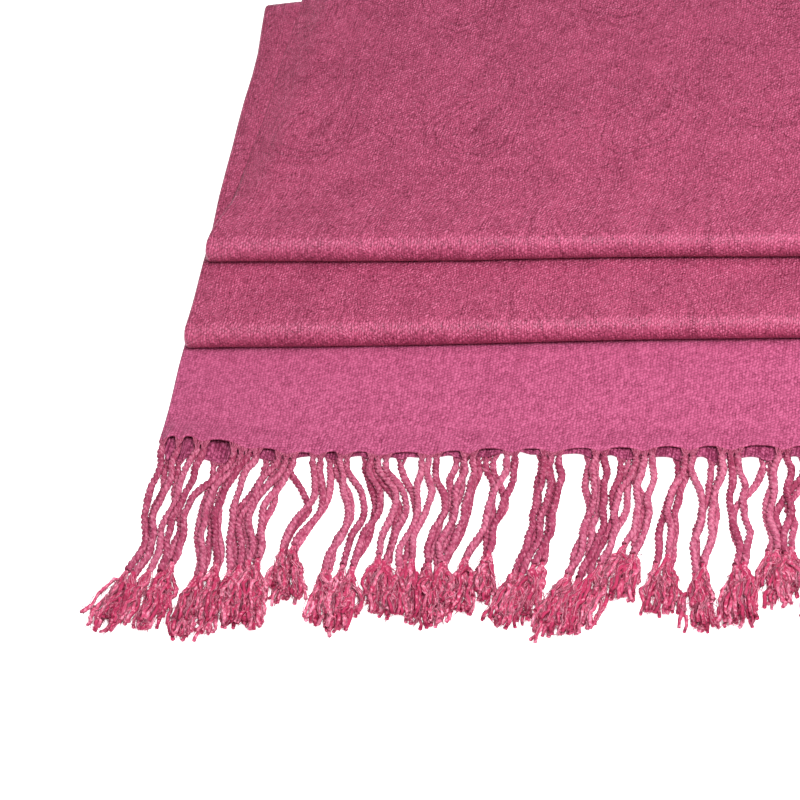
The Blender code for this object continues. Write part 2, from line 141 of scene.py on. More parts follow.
# %% The settling map
HEM_LEFT, HEM_RIGHT, HEM_RUN = -2.2, 5.0, 55.0
HEM_BOW, HEM_BOW_AT, HEM_BOW_REACH = 0.9, 90.0, 22.0
TOP_SKEW = 4.0 / 228.0
FADE, FADE_FROM = 60.0, 20.0
SWELL = 0.024
WAVE_X, WAVE_Y = 52.0, 61.0
RIPPLE_X, RIPPLE_Y = 23.0, 70.0
STRIP_TOP = (TOP_PASS - 2) * PITCH + PASS
PANEL_BOTTOM = TOP_PASS * PITCH
STRIP_RISE, STRIP_LEAST = 2.75, 0.4
STRIP_WIDE, STRIP_SPAN = 26.0, (2.0, 16.0)
PANEL_SAG, SAG_REACH, SAG_SPAN = 2.8, 14.0, (96.0, 40.0)

# The solid's turn is five flat facets, so it reaches this share of its radius
TURN_FLAT = math.cos(math.pi / 10.0)
band_low, band_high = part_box("end_band")
layout_left = left_edge(0, 0.0) - PLY / 2.0
layout_back = BAND_BACK + (PITCH + PASS) / 2.0 * TURN_FLAT
ORIGIN = np.array([layout_left - band_low[0] / MM, layout_back - band_high[1] / MM, 0.0])


def left_side_lift(x, y, z):
    """How far the layers at the left move up or down."""
    along = past(y, SAG_SPAN)
    inside = x - left_edge(TOP_PASS, y)
    climb = np.clip(1.0 + inside / STRIP_WIDE, STRIP_LEAST, 1.0)
    rise = STRIP_RISE * along * climb * (1.0 - past(inside, STRIP_SPAN))
    sag = PANEL_SAG * along * (1.0 - smooth(inside / SAG_REACH))
    low = rise * np.clip(z / STRIP_TOP, 0.0, 1.0)
    return lerp(low, -sag, np.clip((z - STRIP_TOP) / (PANEL_BOTTOM - STRIP_TOP), 0.0, 1.0))


def settled(points):
    """World places, in metres, of points of the straight layout."""
    x, y, z = np.moveaxis(np.asarray(points, dtype=float), -1, 0)
    bow = lerp(HEM_LEFT, HEM_RIGHT, smooth(x / HEM_RUN)) + HEM_BOW * bell(x - HEM_BOW_AT, HEM_BOW_REACH)
    at_hem = np.where(y < 0, smooth(1.0 + y / FADE), smooth(1.0 - y / MIDDLE_NOSE))
    at_top = smooth((y - MIDDLE_NOSE) / (TOP_NOSE - MIDDLE_NOSE)) * smooth((EDGE_BACK - y) / FADE)
    forward = bow * at_hem + TOP_SKEW * x * at_top
    swell = 0.6 * np.sin(x / WAVE_X + 0.6) * np.sin(y / WAVE_Y + 1.1)
    swell += 0.4 * np.sin(x / RIPPLE_X + y / RIPPLE_Y)
    z = (z + left_side_lift(x, y, z)) * (1.0 + SWELL * swell * smooth((y + FADE_FROM) / FADE))
    return (np.stack([x, y - forward, z], -1) - ORIGIN) * MM


print("the layout starts at", (-ORIGIN[:2]).round(2), "mm from the frame's origin")

# %% [markdown]
# ## The camera
#
# The photograph looks down at 45 degrees, from a little to the right, through a long lens, and it
# is turned slightly about its own axis. A camera is easiest to place from what it looks at: step back
# from the target along the line of sight, then turn the frame about that line.

# %% Camera
VIEW_AZIMUTH = math.radians(16.435)
VIEW_ELEVATION = math.radians(45.0)
VIEW_ROLL = math.radians(12.615)
VIEW_DISTANCE = 1.14
LENS, SENSOR = 141.4, 36.0
CLIP_START = 0.05
TARGET = (84.4, 22.8, 0.0)


def place_camera():
    level, fall = math.cos(VIEW_ELEVATION), math.sin(VIEW_ELEVATION)
    sight = Vector((-math.sin(VIEW_AZIMUTH) * level, math.cos(VIEW_AZIMUTH) * level, -fall))
    level_right = sight.cross(Vector((0.0, 0.0, 1.0))).normalized()
    level_up = level_right.cross(sight)
    right = level_right * math.cos(VIEW_ROLL) - level_up * math.sin(VIEW_ROLL)
    up = level_right * math.sin(VIEW_ROLL) + level_up * math.cos(VIEW_ROLL)
    data = bpy.data.cameras.new("camera")
    data.lens = LENS
    data.sensor_width = SENSOR
    data.clip_start = CLIP_START
    camera = bpy.data.objects.new("camera", data)
    camera.matrix_world = Matrix((right, up, -sight)).transposed().to_4x4()
    camera.location = Vector((np.array(TARGET) - ORIGIN) * MM) - sight * VIEW_DISTANCE
    scene.collection.objects.link(camera)
    scene.camera = camera
    return camera


scene = bpy.context.scene
camera = place_camera()
print("camera at", [round(v, 3) for v in camera.location])

# %% [markdown]
# ## Floor and light
#
# A picture for a shop is often taken on a light table: a pale sheet that glows a little, so that
# thin things such as a fringe throw no shadow on it. The floor here is one plain sheet with a weak
# glow of its own. The main lamp is a large soft box in front and a little to the right, rather higher
# than the camera, so the rounded folds are brightest on their shoulders. A weaker one hangs
# overhead, and the sky fills the rest.

# %% Floor and lamps
FLOOR_SIZE = 6.0
FLOOR_DROP = 0.0002
FLOOR_GREY = 0.90
FLOOR_GLOW = 0.80
SKY = 0.19
WHITE = (1.0, 1.0, 1.0, 1.0)
LAMPS = (
    # name, place, aim, size, power
    ("key", (0.32, -0.62, 0.98), (0.05, 0.0, 0.0), (0.65, 0.40), 21.5),
    ("overhead", (0.20, -0.15, 1.3), (0.1, 0.0, 0.0), (1.2, 1.0), 7.5),
)


def dial(node, settings):
    """Sets inputs of a node by name."""
    for name, value in settings.items():
        node.inputs[name].default_value = value


def make_floor():
    bpy.ops.mesh.primitive_plane_add(size=FLOOR_SIZE, location=(0.0, 0.0, -FLOOR_DROP))
    floor = bpy.context.object
    floor.name = "floor"
    paint = bpy.data.materials.new("floor_white")
    paint.use_nodes = True
    look = {
        "Base Color": (FLOOR_GREY, FLOOR_GREY, FLOOR_GREY, 1.0),
        "Roughness": 0.9,
        "Specular IOR Level": 0.1,
        "Emission Color": WHITE,
        "Emission Strength": FLOOR_GLOW,
    }
    dial(paint.node_tree.nodes["Principled BSDF"], look)
    floor.data.materials.append(paint)
    floor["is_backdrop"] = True


def make_lamp(name, place, aim, size, power):
    data = bpy.data.lights.new(name, "AREA")
    data.shape = "RECTANGLE"
    data.size, data.size_y = size
    data.energy = power
    lamp = bpy.data.objects.new(name, data)
    lamp.location = place
    lamp.rotation_mode = "QUATERNION"
    lamp.rotation_quaternion = (Vector(aim) - Vector(place)).to_track_quat("-Z", "Y")
    scene.collection.objects.link(lamp)


def make_sky():
    world = bpy.data.worlds.new("studio")
    world.use_nodes = True
    dial(world.node_tree.nodes["Background"], {"Color": WHITE, "Strength": SKY})
    scene.world = world


make_floor()
make_sky()
scene.view_settings.view_transform = "Standard"
for lamp in LAMPS:
    make_lamp(*lamp)
print("lamps:", [lamp[0] for lamp in LAMPS])

# %% [markdown]
# ## Laying cloth along a path
#
# A folded cloth is a grid: its rows follow the path of the passes and its columns run across the
# width. The stole is folded lengthwise first, so each row starts at one selvedge, runs to the left,
# rounds the fold and comes back over itself to the other. Every point also keeps its place in the
# flat cloth, in millimetres across and along, and the weave is drawn from that.
#
# Such a grid bends only where the cloth bends, and a path puts each fold exactly where it lies. A
# Solidify modifier gives it the cloth's thickness.

# %% Path, section and grid
CLOTH = 0.75
LOW_PLY, HIGH_PLY = CLOTH / 2.0, PASS - CLOTH / 2.0
FOLD_STEPS, TURN_STEP = 5, 1.1
PLACE = "cloth_place"


def evenly(start, end, step):
    """Places from start to end, about a step apart."""
    pieces = max(1, round(abs(end - start) / step))
    return list(np.linspace(start, end, pieces + 1))


def columns(step):
    """Places across the folded width."""
    return evenly(0.0, FOLDED_WIDTH, step)


def cloth_path(legs, turn_step=TURN_STEP):
    """Rows along legs of (pass, places in y), joined by half turns.

    A row is (y, z, normal y, normal z, pass before, pass after, share of the turn).
    """
    rows = []
    for index, (number, places) in enumerate(legs):
        way = math.copysign(1.0, places[-1] - places[0])
        rows += [(y, pass_middle(number), 0.0, way, number, number, 0.0) for y in places]
        if index + 1 == len(legs):
            break
        after = legs[index + 1][0]
        rise = math.copysign(1.0, after - number)
        centre = (pass_middle(number) + pass_middle(after)) / 2.0
        radius = abs(pass_middle(after) - centre)
        steps = max(6, round(math.pi * (radius + PASS / 2.0) / turn_step))
        for i in range(1, steps):
            angle = math.pi * (i / steps - 0.5)
            out, up = math.cos(angle), math.sin(angle)
            y, z = places[-1] + way * radius * out, centre + rise * radius * up
            rows.append((y, z, -rise * out, -way * up, number, after, i / steps))
    return np.array(rows)


def double_section(lower_xs, upper_xs):
    """Columns round a folded wall: (x from the left edge, height, share that faces up)."""
    radius = (HIGH_PLY - LOW_PLY) / 2.0
    start = PASS / 2.0
    section = [(x, LOW_PLY, -1.0) for x in lower_xs[::-1] if x > start]
    for i in range(FOLD_STEPS + 1):
        turn = -math.pi / 2.0 - math.pi * i / FOLD_STEPS
        up = math.sin(turn)
        section.append((start + radius * math.cos(turn), start + radius * up, up))
    section += [(x, HIGH_PLY, 1.0) for x in upper_xs if x > start]
    return np.array(section)


def running_length(points):
    steps = np.linalg.norm(np.diff(points, axis=0), axis=1)
    return np.concatenate([[0.0], np.cumsum(steps)])


def grid_faces(rows, across, first):
    index = first + np.arange(rows * across).reshape(rows, across)
    corners = (index[:-1, :-1], index[:-1, 1:], index[1:, 1:], index[1:, :-1])
    return np.stack([c.ravel() for c in corners], -1)


TUCKED, TUCK_SPAN = 11.0, (110.0, 50.0)
EDGE_WAVE = 0.3
CORNER_FLARE, CORNER_SPAN = 4.6, (TOP_NOSE, 26.0)
HOLLOW, HOLLOW_AT, HOLLOW_REACH = 1.9, 190.0, 36.0


def tuck(number, y):
    """How far a pass's left edge is pushed in under the top panel."""
    return np.where(number == TOP_PASS - 1, TUCKED, 0.0) * past(y, TUCK_SPAN)


def edge_wave(number, y):
    """A pressed fold isn't ruled: it wanders, it is hollow, and the top fold's corner flares out."""
    flare = np.where(number == TOP_PASS, CORNER_FLARE, 0.0) * (1.0 - past(y, CORNER_SPAN))
    hollow = np.where(number == TOP_PASS, 0.0, HOLLOW) * bell(y - HOLLOW_AT, HOLLOW_REACH)
    wander = np.sin(y / 9.0 + 1.9 * number) + 0.6 * np.sin(y / 21.0 + 2.3 * number)
    return EDGE_WAVE * wander + hollow - flare


def lay_rows(rows, section, relief=None):
    """Grid of layout points and their places in the flat cloth."""
    y, z, normal_y, normal_z, before, after, share = rows.T[:, :, None]
    passes = before.astype(int), after.astype(int)
    edge = lerp(*(left_edge(number, y) + edge_wave(number, y) for number in passes), share)
    tucked = lerp(*(tuck(number, y) for number in passes), share)
    x, height, upward = section.T
    u, v = np.meshgrid(running_length(section[:, :2]), running_length(rows[:, :2]))
    lift = relief(u, v) * np.clip(upward, 0.0, 1.0) if relief else 0.0
    off = height - PASS / 2.0 + lift
    x = edge + x + tucked * (1.0 - x / FOLDED_WIDTH)
    points = np.stack([x, y + normal_y * off, z + normal_z * off], -1)
    return points, np.stack([u, v, np.zeros_like(u)], -1)


def make_mesh(name, points, faces, places, finish, node):
    """A piece from layout points. Each keeps its place, a vector that the finish reads."""
    mesh = bpy.data.meshes.new(name)
    mesh.from_pydata(settled(points).tolist(), [], faces)
    mesh.shade_smooth()
    mesh.materials.append(finish)
    layer = mesh.attributes.new(PLACE, "FLOAT_VECTOR", "POINT")
    layer.data.foreach_set("vector", np.ascontiguousarray(places, dtype=np.float32).ravel())
    made = bpy.data.objects.new(name, mesh)
    scene.collection.objects.link(made)
    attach(made, "root")
    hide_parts(node)
    return made


def make_cloth(name, grids, finish, node):
    """One sheet from grids of layout points, with the cloth's thickness."""
    faces, count = [], 0
    for points, _ in grids:
        faces += grid_faces(*points.shape[:2], count).tolist()
        count += points[..., 0].size
    points, places = (np.concatenate([pair[i].reshape(-1, 3) for pair in grids]) for i in (0, 1))
    made = make_mesh(name, points, faces, places, finish, node)
    thick = made.modifiers.new("thickness", "SOLIDIFY")
    thick.thickness = CLOTH * MM
    thick.offset = 0.0
    return made


# %% [markdown]
# ## Woven finishes
#
# The cloth is one colour throughout. What shows the figure is the weave: in it the threads' floats
# are shorter and darker, and around it the cloth is a fine even twill. So the finish has two fields
# of floats, and a paisley drawing that says which of them shows, all worked out from the place in
# the flat cloth. Small helpers that add a few nodes each keep such a tree readable.

# %% Node helpers
SPECULAR_TINT = (1.0, 0.62, 0.80, 1.0)
SHEEN_TINT = (1.0, 0.62, 0.78, 1.0)


class Nodes:
    """Adds nodes to one material and hands back their outputs."""

    def __init__(self, name):
        self.material = bpy.data.materials.new(name)
        self.material.use_nodes = True
        self.tree = self.material.node_tree
        self.shader = self.tree.nodes["Principled BSDF"]

    def feed(self, socket, value):
        if isinstance(value, (int, float, tuple)):
            socket.default_value = value
        else:
            self.tree.links.new(value, socket)

    def add(self, kind, *values, **settings):
        """A node of a kind, with settings, and with values for its first inputs."""
        node = self.tree.nodes.new(kind)
        for key, value in settings.items():
            setattr(node, key, value)
        for socket, value in zip(node.inputs, values):
            self.feed(socket, value)
        return node

    def math(self, operation, *values):
        return self.add("ShaderNodeMath", *values, operation=operation).outputs[0]

    def chain(self, operation, values):
        total = values[0]
        for value in values[1:]:
            total = self.math(operation, total, value)
        return total

    def sum(self, *values):
        return self.chain("ADD", values)

    def times(self, *values):
        return self.chain("MULTIPLY", values)

    def strongest(self, *values):
        return self.chain("MAXIMUM", values)

    def minus(self, first, second):
        return self.math("SUBTRACT", first, second)

    def shifted(self, value, factor, start):
        """The start plus the value times a factor."""
        return self.math("MULTIPLY_ADD", value, factor, start)

    def reach(self, a, b):
        """The distance of (a, b) from the middle."""
        return self.math("SQRT", self.sum(self.times(a, a), self.times(b, b)))

    def ramp(self, value, low, high, to_low=0.0, to_high=1.0):
        """Eases from to_low to to_high as the value goes from low to high."""
        given = (value, low, high, to_low, to_high)
        return self.add("ShaderNodeMapRange", *given, interpolation_type="SMOOTHSTEP").outputs[0]

    def line(self, value, at, half_width):
        """1 on a contour and 0 away from it."""
        return self.ramp(self.math("ABSOLUTE", self.minus(value, at)), 0.0, half_width, 1.0, 0.0)

    def noise(self, place, scale=1.0, detail=2.0, roughness=0.5):
        """Noise at a place given by its parts."""
        node = self.add("ShaderNodeTexNoise", self.vector(*place))
        dial(node, {"Scale": scale, "Detail": detail, "Roughness": roughness})
        return node.outputs["Fac"]

    def vector(self, x, y, z=0.0):
        return self.add("ShaderNodeCombineXYZ", x, y, z).outputs[0]

    def streaks(self, u, v, across, along):
        """Noise drawn out one way, by its fineness across and along."""
        return self.noise((self.times(u, across), self.times(v, along)))

    def blend(self, share, first, second):
        """Goes from the first number to the second as share goes from 0 to 1."""
        return self.shifted(share, self.minus(second, first), first)

    def mix(self, share, first, second):
        node = self.add("ShaderNodeMix", data_type="RGBA")
        for name, value in (("Factor", share), ("A", first), ("B", second)):
            self.feed(node.inputs[name], value)
        return node.outputs["Result"]

    def place(self):
        """The three parts of the stored place."""
        stored = self.add("ShaderNodeAttribute", attribute_name=PLACE).outputs["Vector"]
        return self.add("ShaderNodeSeparateXYZ", stored).outputs

    def finish(self, colour, height, depth, roughness, sheen=0.0, specular=0.0):
        """The shader, with relief of a depth in millimetres."""
        bump = self.add("ShaderNodeBump")
        dial(bump, {"Distance": depth * MM, "Strength": 1.0})
        self.feed(bump.inputs["Height"], height)
        self.feed(self.shader.inputs["Normal"], bump.outputs[0])
        self.feed(self.shader.inputs["Base Color"], colour)
        constants = {
            "Roughness": roughness,
            "Specular IOR Level": specular,
            "Specular Tint": SPECULAR_TINT,
            "Sheen Weight": sheen,
            "Sheen Roughness": 0.45,
            "Sheen Tint": SHEEN_TINT,
        }
        dial(self.shader, constants)
        return self.material


# %% [markdown]
# ## Floats
#
# Seen close, a twill is made of floats: short stretches where a warp thread lies on top of the weft.
# Each thread's floats start a little further on than its neighbour's, so they line up on the slant.
# No two are quite alike, which makes cloth look woven and not printed. So the place in the cloth is
# cut into wavy cells, each with a small mound and a chance of its own that says how bright it is.

# %% Floats
FLOAT_ACROSS, FLOAT_ALONG, FLOAT_SLANT = 1.0, 1.5, 0.38
THREAD_DRIFT = 2.3


def floats(n, u, v, across=FLOAT_ACROSS, along=FLOAT_ALONG, slant=FLOAT_SLANT):
    """The height of the floats, from 0 to 1, and each float's own chance."""
    drift = n.streaks(u, v, 0.3, 0.3)
    a = n.times(n.shifted(drift, THREAD_DRIFT, u), 1.0 / across)
    column = n.math("FLOOR", a)
    b = n.sum(n.times(n.shifted(drift, THREAD_DRIFT, v), 1.0 / along), n.times(column, -slant))
    cell = n.vector(column, n.math("FLOOR", b))
    chance = n.add("ShaderNodeTexWhiteNoise", cell, noise_dimensions="2D")
    from_middle = [n.minus(n.math("FRACT", value), 0.5) for value in (a, b)]
    return n.ramp(n.reach(*from_middle), 0.58, 0.16), chance.outputs["Value"]


def uneven_threads(n, u, v):
    """Light and dark threads, both ways, from about 0 to 1."""
    return n.times(n.sum(n.streaks(u, v, 0.35, 1.9), n.streaks(u, v, 1.9, 0.4)), 0.5)


# %% [markdown]
# ## The paisley figure
#
# A paisley is a drop with a curled tip, drawn as nested outlines. Measured from its centre, the drop
# is round below and narrows to a point above, and bending the across direction with the square of
# the height curls the point. The outlines are then lines of equal distance. Rows of drops alternate
# in lean, and small flowers, curling stems and veined leaves fill the ground between.

# %% Paisley
REPEAT_ACROSS, REPEAT_ALONG = 64.0, 78.0
DROP_RADIUS, DROP_LENGTH = 15.0, 42.0
DROP_LEAN = math.radians(38.0)
DROP_CENTRE = 9.0
DROP_CURL = 0.014
FLOWER_RADIUS = 10.0


def cell_place(n, u, v, shift_u=0.0):
    """Place from the middle of a repeat, mirrored in every other row."""
    along = n.math("DIVIDE", v, REPEAT_ALONG)
    row = n.math("FLOOR", along)
    side = n.shifted(n.math("PINGPONG", row, 1.0), 2.0, -1.0)
    across = n.sum(n.math("DIVIDE", u, REPEAT_ACROSS), n.times(row, 0.5), shift_u)
    a = n.times(n.minus(n.math("FRACT", across), 0.5), REPEAT_ACROSS, side)
    return a, n.times(n.minus(n.math("FRACT", along), 0.5), REPEAT_ALONG)


def turned(n, a, b, angle):
    """Place (a, b) measured along directions turned by an angle."""
    cosine, sine = math.cos(angle), math.sin(angle)
    x = n.minus(n.times(a, cosine), n.times(b, sine))
    return x, n.sum(n.times(a, sine), n.times(b, cosine))


def drops(n, u, v):
    """Nested outlines of the drops, and the level that they are drawn from."""
    x, y = turned(n, *cell_place(n, u, v), DROP_LEAN)
    y = n.sum(y, DROP_CENTRE)
    above = n.math("MAXIMUM", y, 0.0)
    x = n.sum(x, n.times(above, above, DROP_CURL))
    taper = n.math("MAXIMUM", n.shifted(above, -1.0 / DROP_LENGTH, 1.0), 0.05)
    wide = n.math("DIVIDE", x, n.times(taper, DROP_RADIUS))
    level = n.reach(wide, n.times(n.math("MINIMUM", y, 0.0), 1.0 / DROP_RADIUS))
    beads = n.ramp(n.math("SINE", n.times(y, 1.9)), -0.2, 0.5)
    petals = n.math("ABSOLUTE", n.math("SINE", n.times(n.math("ARCTAN2", x, y), 6.0)))
    drawn = n.strongest(
        n.line(level, 1.02, 0.09),
        n.line(level, 0.80, 0.05),
        n.times(n.line(level, 0.52, 0.12), beads),
        n.times(n.ramp(level, 0.26, 0.18), 0.8),
        n.times(n.line(n.shifted(petals, 0.12, level), 1.36, 0.10), 0.8),
    )
    return n.times(drawn, n.ramp(y, DROP_LENGTH - 2.0, DROP_LENGTH - 9.0)), level


def flowers(n, u, v):
    """Outlined flowers half way between the drops, and the level that they are drawn from."""
    a, b = cell_place(n, u, v, 0.5)
    petal = n.math("ABSOLUTE", n.math("COSINE", n.times(n.math("ARCTAN2", a, b), 2.5)))
    edge = n.shifted(petal, FLOWER_RADIUS * 0.5, FLOWER_RADIUS * 0.5)
    bloom = n.math("DIVIDE", n.reach(a, b), edge)
    drawn = n.strongest(n.line(bloom, 1.0, 0.16), n.line(bloom, 0.62, 0.1), n.ramp(bloom, 0.3, 0.2))
    return n.times(drawn, 0.9), bloom


def leaves(n, u, v, lean, long, broad, offset):
    """Lens-shaped leaves with a vein, scattered over the ground."""
    x, y = turned(n, u, v, math.radians(lean))
    x = n.times(x, 1.0 / broad)
    place = n.vector(x, n.shifted(y, 1.0 / long, offset))
    cells = n.add("ShaderNodeTexVoronoi", place, voronoi_dimensions="2D", feature="F1")
    dial(cells, {"Scale": 1.0})
    middle = n.add("ShaderNodeSeparateXYZ", cells.outputs["Position"])
    vein = n.math("ABSOLUTE", n.minus(x, middle.outputs[0]))
    distance = cells.outputs["Distance"]
    inside = n.ramp(distance, 0.42, 0.36)
    return n.strongest(n.line(distance, 0.36, 0.07), n.times(n.ramp(vein, 0.09, 0.03), inside))


def scrolls(n, u, v):
    """Curling stems, as contour lines of a slow noise."""
    slow = n.noise((u, v), 0.04, 1.0)
    return n.line(n.math("FRACT", n.times(slow, 9.0)), 0.5, 0.17)


def paisley(n, u, v):
    """The whole figure's drawing: 1 on its lines."""
    wander = n.noise((u, v), 0.05, 1.0), n.noise((v, u), 0.06, 1.0)
    u, v = (n.shifted(shift, 9.0, flat) for shift, flat in zip(wander, (u, v)))
    drop, level = drops(n, u, v)
    flower, bloom = flowers(n, u, v)
    ground = n.strongest(
        n.times(scrolls(n, u, v), 0.6),
        n.times(leaves(n, u, v, 40.0, 21.0, 7.5, 0.0), 0.8),
        n.times(leaves(n, u, v, -52.0, 17.0, 6.0, 3.7), 0.6),
    )
    clear = n.times(n.ramp(level, 1.42, 1.6), n.ramp(bloom, 1.1, 1.3))
    return n.strongest(drop, flower, n.times(ground, clear))


# %% [markdown]
# ## The damask
#
# In a damask the figure isn't a second colour. It is where more of the floats are of the other
# thread, which here is darker because it turns away from the light. So where the paisley is drawn
# the floats are shorter, slant the other way and are a shade darker, and it is as grainy as the
# cloth. The gaps between floats are painted shade, and a few high floats get painted highlights.

# %% Damask finish
DAMASK = {
    "light": (0.458, 0.078, 0.163, 1.0),
    "deep": (0.105, 0.006, 0.024, 1.0),
    # colour of the painted highlights on a few floats
    "painted_glint": (0.700, 0.230, 0.370, 1.0),
    # share of painted shade in the gaps between floats
    "gap_shade": 0.50,
    "chance": -0.46,
    "threads": -1.4,
    "level": 1.46,
}
FIGURE_ACROSS, FIGURE_ALONG = 1.2, 1.0
FIGURE_SHADE = 0.27
GRAIN = 1.1
# Share of the painted highlight colour on the best floats.
PAINTED_GLINTS = 0.22


def woven_tone(n, flat, height, chance, threads, extra, look):
    """Painted shade in the gaps, some threads and floats darker at random, and painted highlights on
    others.
    """
    shade = n.sum(
        # Painted shade: the gaps between floats are darkened.
        n.times(n.minus(1.0, height), look["gap_shade"]),
        n.times(chance, look["chance"]),
        n.times(threads, look["threads"]),
        n.times(n.noise(flat, GRAIN), -1.0),
        extra,
        look["level"],
    )
    # Painted highlights: a lighter colour on high floats with a good chance, wherever they lie.
    painted_glints = n.times(n.ramp(chance, 0.35, 1.0), n.ramp(height, 0.4, 1.0), PAINTED_GLINTS)
    return n.mix(painted_glints, n.mix(shade, look["light"], look["deep"]), look["painted_glint"])


def damask_finish():
    n = Nodes("damask_cloth")
    u, v, _ = n.place()
    figure = paisley(n, u, v)
    ground = floats(n, u, v)
    dashes = floats(n, u, v, FIGURE_ACROSS, FIGURE_ALONG, -FLOAT_SLANT)
    height, chance = (n.blend(figure, *pair) for pair in zip(ground, dashes))
    threads = uneven_threads(n, u, v)
    patches = n.ramp(n.noise((u, v), 0.045, 4.0, 0.65), 0.30, 0.70, -0.07, 0.09)
    extra = n.sum(patches, n.times(figure, FIGURE_SHADE))
    tone = woven_tone(n, (u, v), height, chance, threads, extra, DAMASK)
    relief = n.sum(n.times(height, n.shifted(chance, 0.9, 0.3)), n.times(threads, 0.6))
    return n.finish(tone, relief, 0.26, roughness=0.46, specular=0.62)


# %% [markdown]
# ## The plain end
#
# The end band is a plain twill, a shade lighter because nothing floats over it. It has the threads'
# unevenness and soft level streaks, where the weft was beaten harder or softer. Its float gaps and
# high floats get painted shade and painted highlights, as in the damask. Near its edge the warp is
# drawn together towards the cords, in pleats that are painted darker: on the lower ply all along, as
# painted shade for the hollow under the upper ply's edge, and on the upper ply a little at the
# gathers, partly for the closer weave and partly as painted shade. The place's third number says
# how much.

# %% Plain finish
PLAIN = {
    "light": (0.474, 0.092, 0.200, 1.0),
    "deep": (0.150, 0.014, 0.048, 1.0),
    # colour of the painted highlights on a few floats
    "painted_glint": (0.640, 0.200, 0.340, 1.0),
    # share of painted shade in the gaps between floats
    "gap_shade": 0.48,
    "chance": -0.44,
    "threads": -1.3,
    "level": 1.28,
}
PLAIN_ACROSS, PLAIN_ALONG = 1.15, 1.25


def plain_finish():
    n = Nodes("plain_cloth")
    # The third part of the place says how much painted shade the pleats near the hem get.
    u, v, drawn = n.place()
    height, chance = floats(n, u, v, PLAIN_ACROSS, PLAIN_ALONG)
    threads = uneven_threads(n, u, v)
    # Painted shade in the pleats near the hem, partly also their closer weave.
    pleat_shade = n.times(drawn, n.ramp(n.streaks(u, v, 1.4, 0.12), 0.35, 0.65, 0.15, 0.9))
    extra = n.sum(n.times(n.streaks(u, v, 0.02, 0.22), 0.3), pleat_shade)
    tone = woven_tone(n, (u, v), height, chance, threads, extra, PLAIN)
    relief = n.sum(n.times(height, 0.6), n.times(threads, 0.8), n.times(pleat_shade, -1.5))
    return n.finish(tone, relief, 0.24, roughness=0.6, sheen=0.05, specular=0.35)


damask, plain = damask_finish(), plain_finish()
print("woven finishes:", damask.name, plain.name)

# %% [markdown]
# ## Creases
#
# Cloth that was folded in a drawer keeps the ghosts of its folds, as soft troughs and ridges. Each
# is a bell-shaped line: it drifts a little, swells in the middle of its length and fades at its ends.
# They differ in length, depth and spacing, and are part of the grid, so they catch light from any
# side.

# %% Crease relief
TOP_CREASES = (
    # across, along at start and end, drift, half width, height
    (440.0, 52.0, 150.0, -9.0, 5.0, -0.55),
    (452.0, 30.0, 128.0, -4.0, 7.0, 0.50),
    (492.0, 60.0, 185.0, -7.0, 6.5, -0.60),
    (504.0, 48.0, 170.0, -5.0, 5.0, 0.45),
    (522.0, 70.0, 200.0, -6.0, 4.5, -0.50),
    (556.0, 40.0, 120.0, 5.0, 9.0, 0.45),
    (590.0, 80.0, 190.0, -4.0, 6.0, -0.45),
    (622.0, 44.0, 165.0, 6.0, 7.5, 0.50),
    (658.0, 95.0, 200.0, -5.0, 6.0, -0.40),
    (372.0, 40.0, 205.0, 3.0, 3.2, -0.45),
    (396.0, 60.0, 140.0, -6.0, 8.0, 0.35),
    (150.0, 60.0, 190.0, 6.0, 8.0, -0.35),
    (255.0, 50.0, 160.0, -8.0, 7.0, 0.35),
)
MIDDLE_CREASES = (
    (430.0, 46.0, 92.0, -3.0, 6.0, -0.35),
    (505.0, 44.0, 88.0, 4.0, 7.0, 0.35),
    (571.0, 48.0, 96.0, -3.0, 5.5, -0.35),
    (640.0, 46.0, 90.0, 2.0, 8.0, 0.30),
)
BAND_CREASES = (
    (420.0, 12.0, 60.0, 4.0, 7.0, 0.30),
    (463.0, 4.0, 44.0, -3.0, 6.0, -0.30),
    (520.0, 10.0, 66.0, 3.0, 8.0, 0.28),
    (584.0, 2.0, 50.0, -5.0, 6.0, -0.30),
    (641.0, 8.0, 58.0, 4.0, 7.5, 0.30),
)


def crease_relief(creases):
    """Height of the creases at a place in the flat cloth."""

    def height(u, v):
        total = 0.25 * np.sin(u / 31.0 + 0.4) * np.sin(v / 27.0)
        for across, start, end, drift, half_width, top in creases:
            share = np.clip((v - start) / (end - start), 0.0, 1.0)
            line = across + drift * share + 1.2 * np.sin(v / 13.0 + across)
            total = total + top * bell(u - line, half_width) * np.sin(math.pi * share) ** 0.7
        return total

    return height


# %% [markdown]
# ## The two rounded folds
#
# The middle and the top fold are the same thing at two heights: cloth that comes forward, turns over
# in a round nose and goes back. Folded lengthwise first, its wall is two plies. The outer one is what
# shows, so it gets the fine grid.

# %% Middle fold and top fold
FINE, COARSE, HIDDEN = 2.2, 7.0, 8.0
UNDER_NOSE, PAST_NOSE = 4.0, 12.0

fine = double_section(columns(COARSE), columns(FINE))
coarse = double_section(columns(COARSE), columns(COARSE))
middle_rows = cloth_path(
    (
        (1, evenly(MIDDLE_NOSE + TUCK, MIDDLE_NOSE, HIDDEN)),
        (
            4,
            evenly(MIDDLE_NOSE, TOP_NOSE + UNDER_NOSE, 2.0)
            + evenly(TOP_NOSE + PAST_NOSE, TOP_NOSE + TUCK, HIDDEN),
        ),
    )
)
top_rows = cloth_path(
    (
        (5, evenly(TOP_NOSE + TUCK, TOP_NOSE, HIDDEN)),
        (8, evenly(TOP_NOSE, FLAP_BACK, FINE)),
        (7, evenly(FLAP_BACK, FLAP_BACK - RETURN_FLAP, HIDDEN)),
    )
)
middle_grid = lay_rows(middle_rows, fine, crease_relief(MIDDLE_CREASES))
top_grid = lay_rows(top_rows, fine, crease_relief(TOP_CREASES))
middle_cloth = make_cloth("middle_cloth", [middle_grid], damask, "middle_fold")
top_cloth = make_cloth("top_cloth", [top_grid], damask, "top_fold")
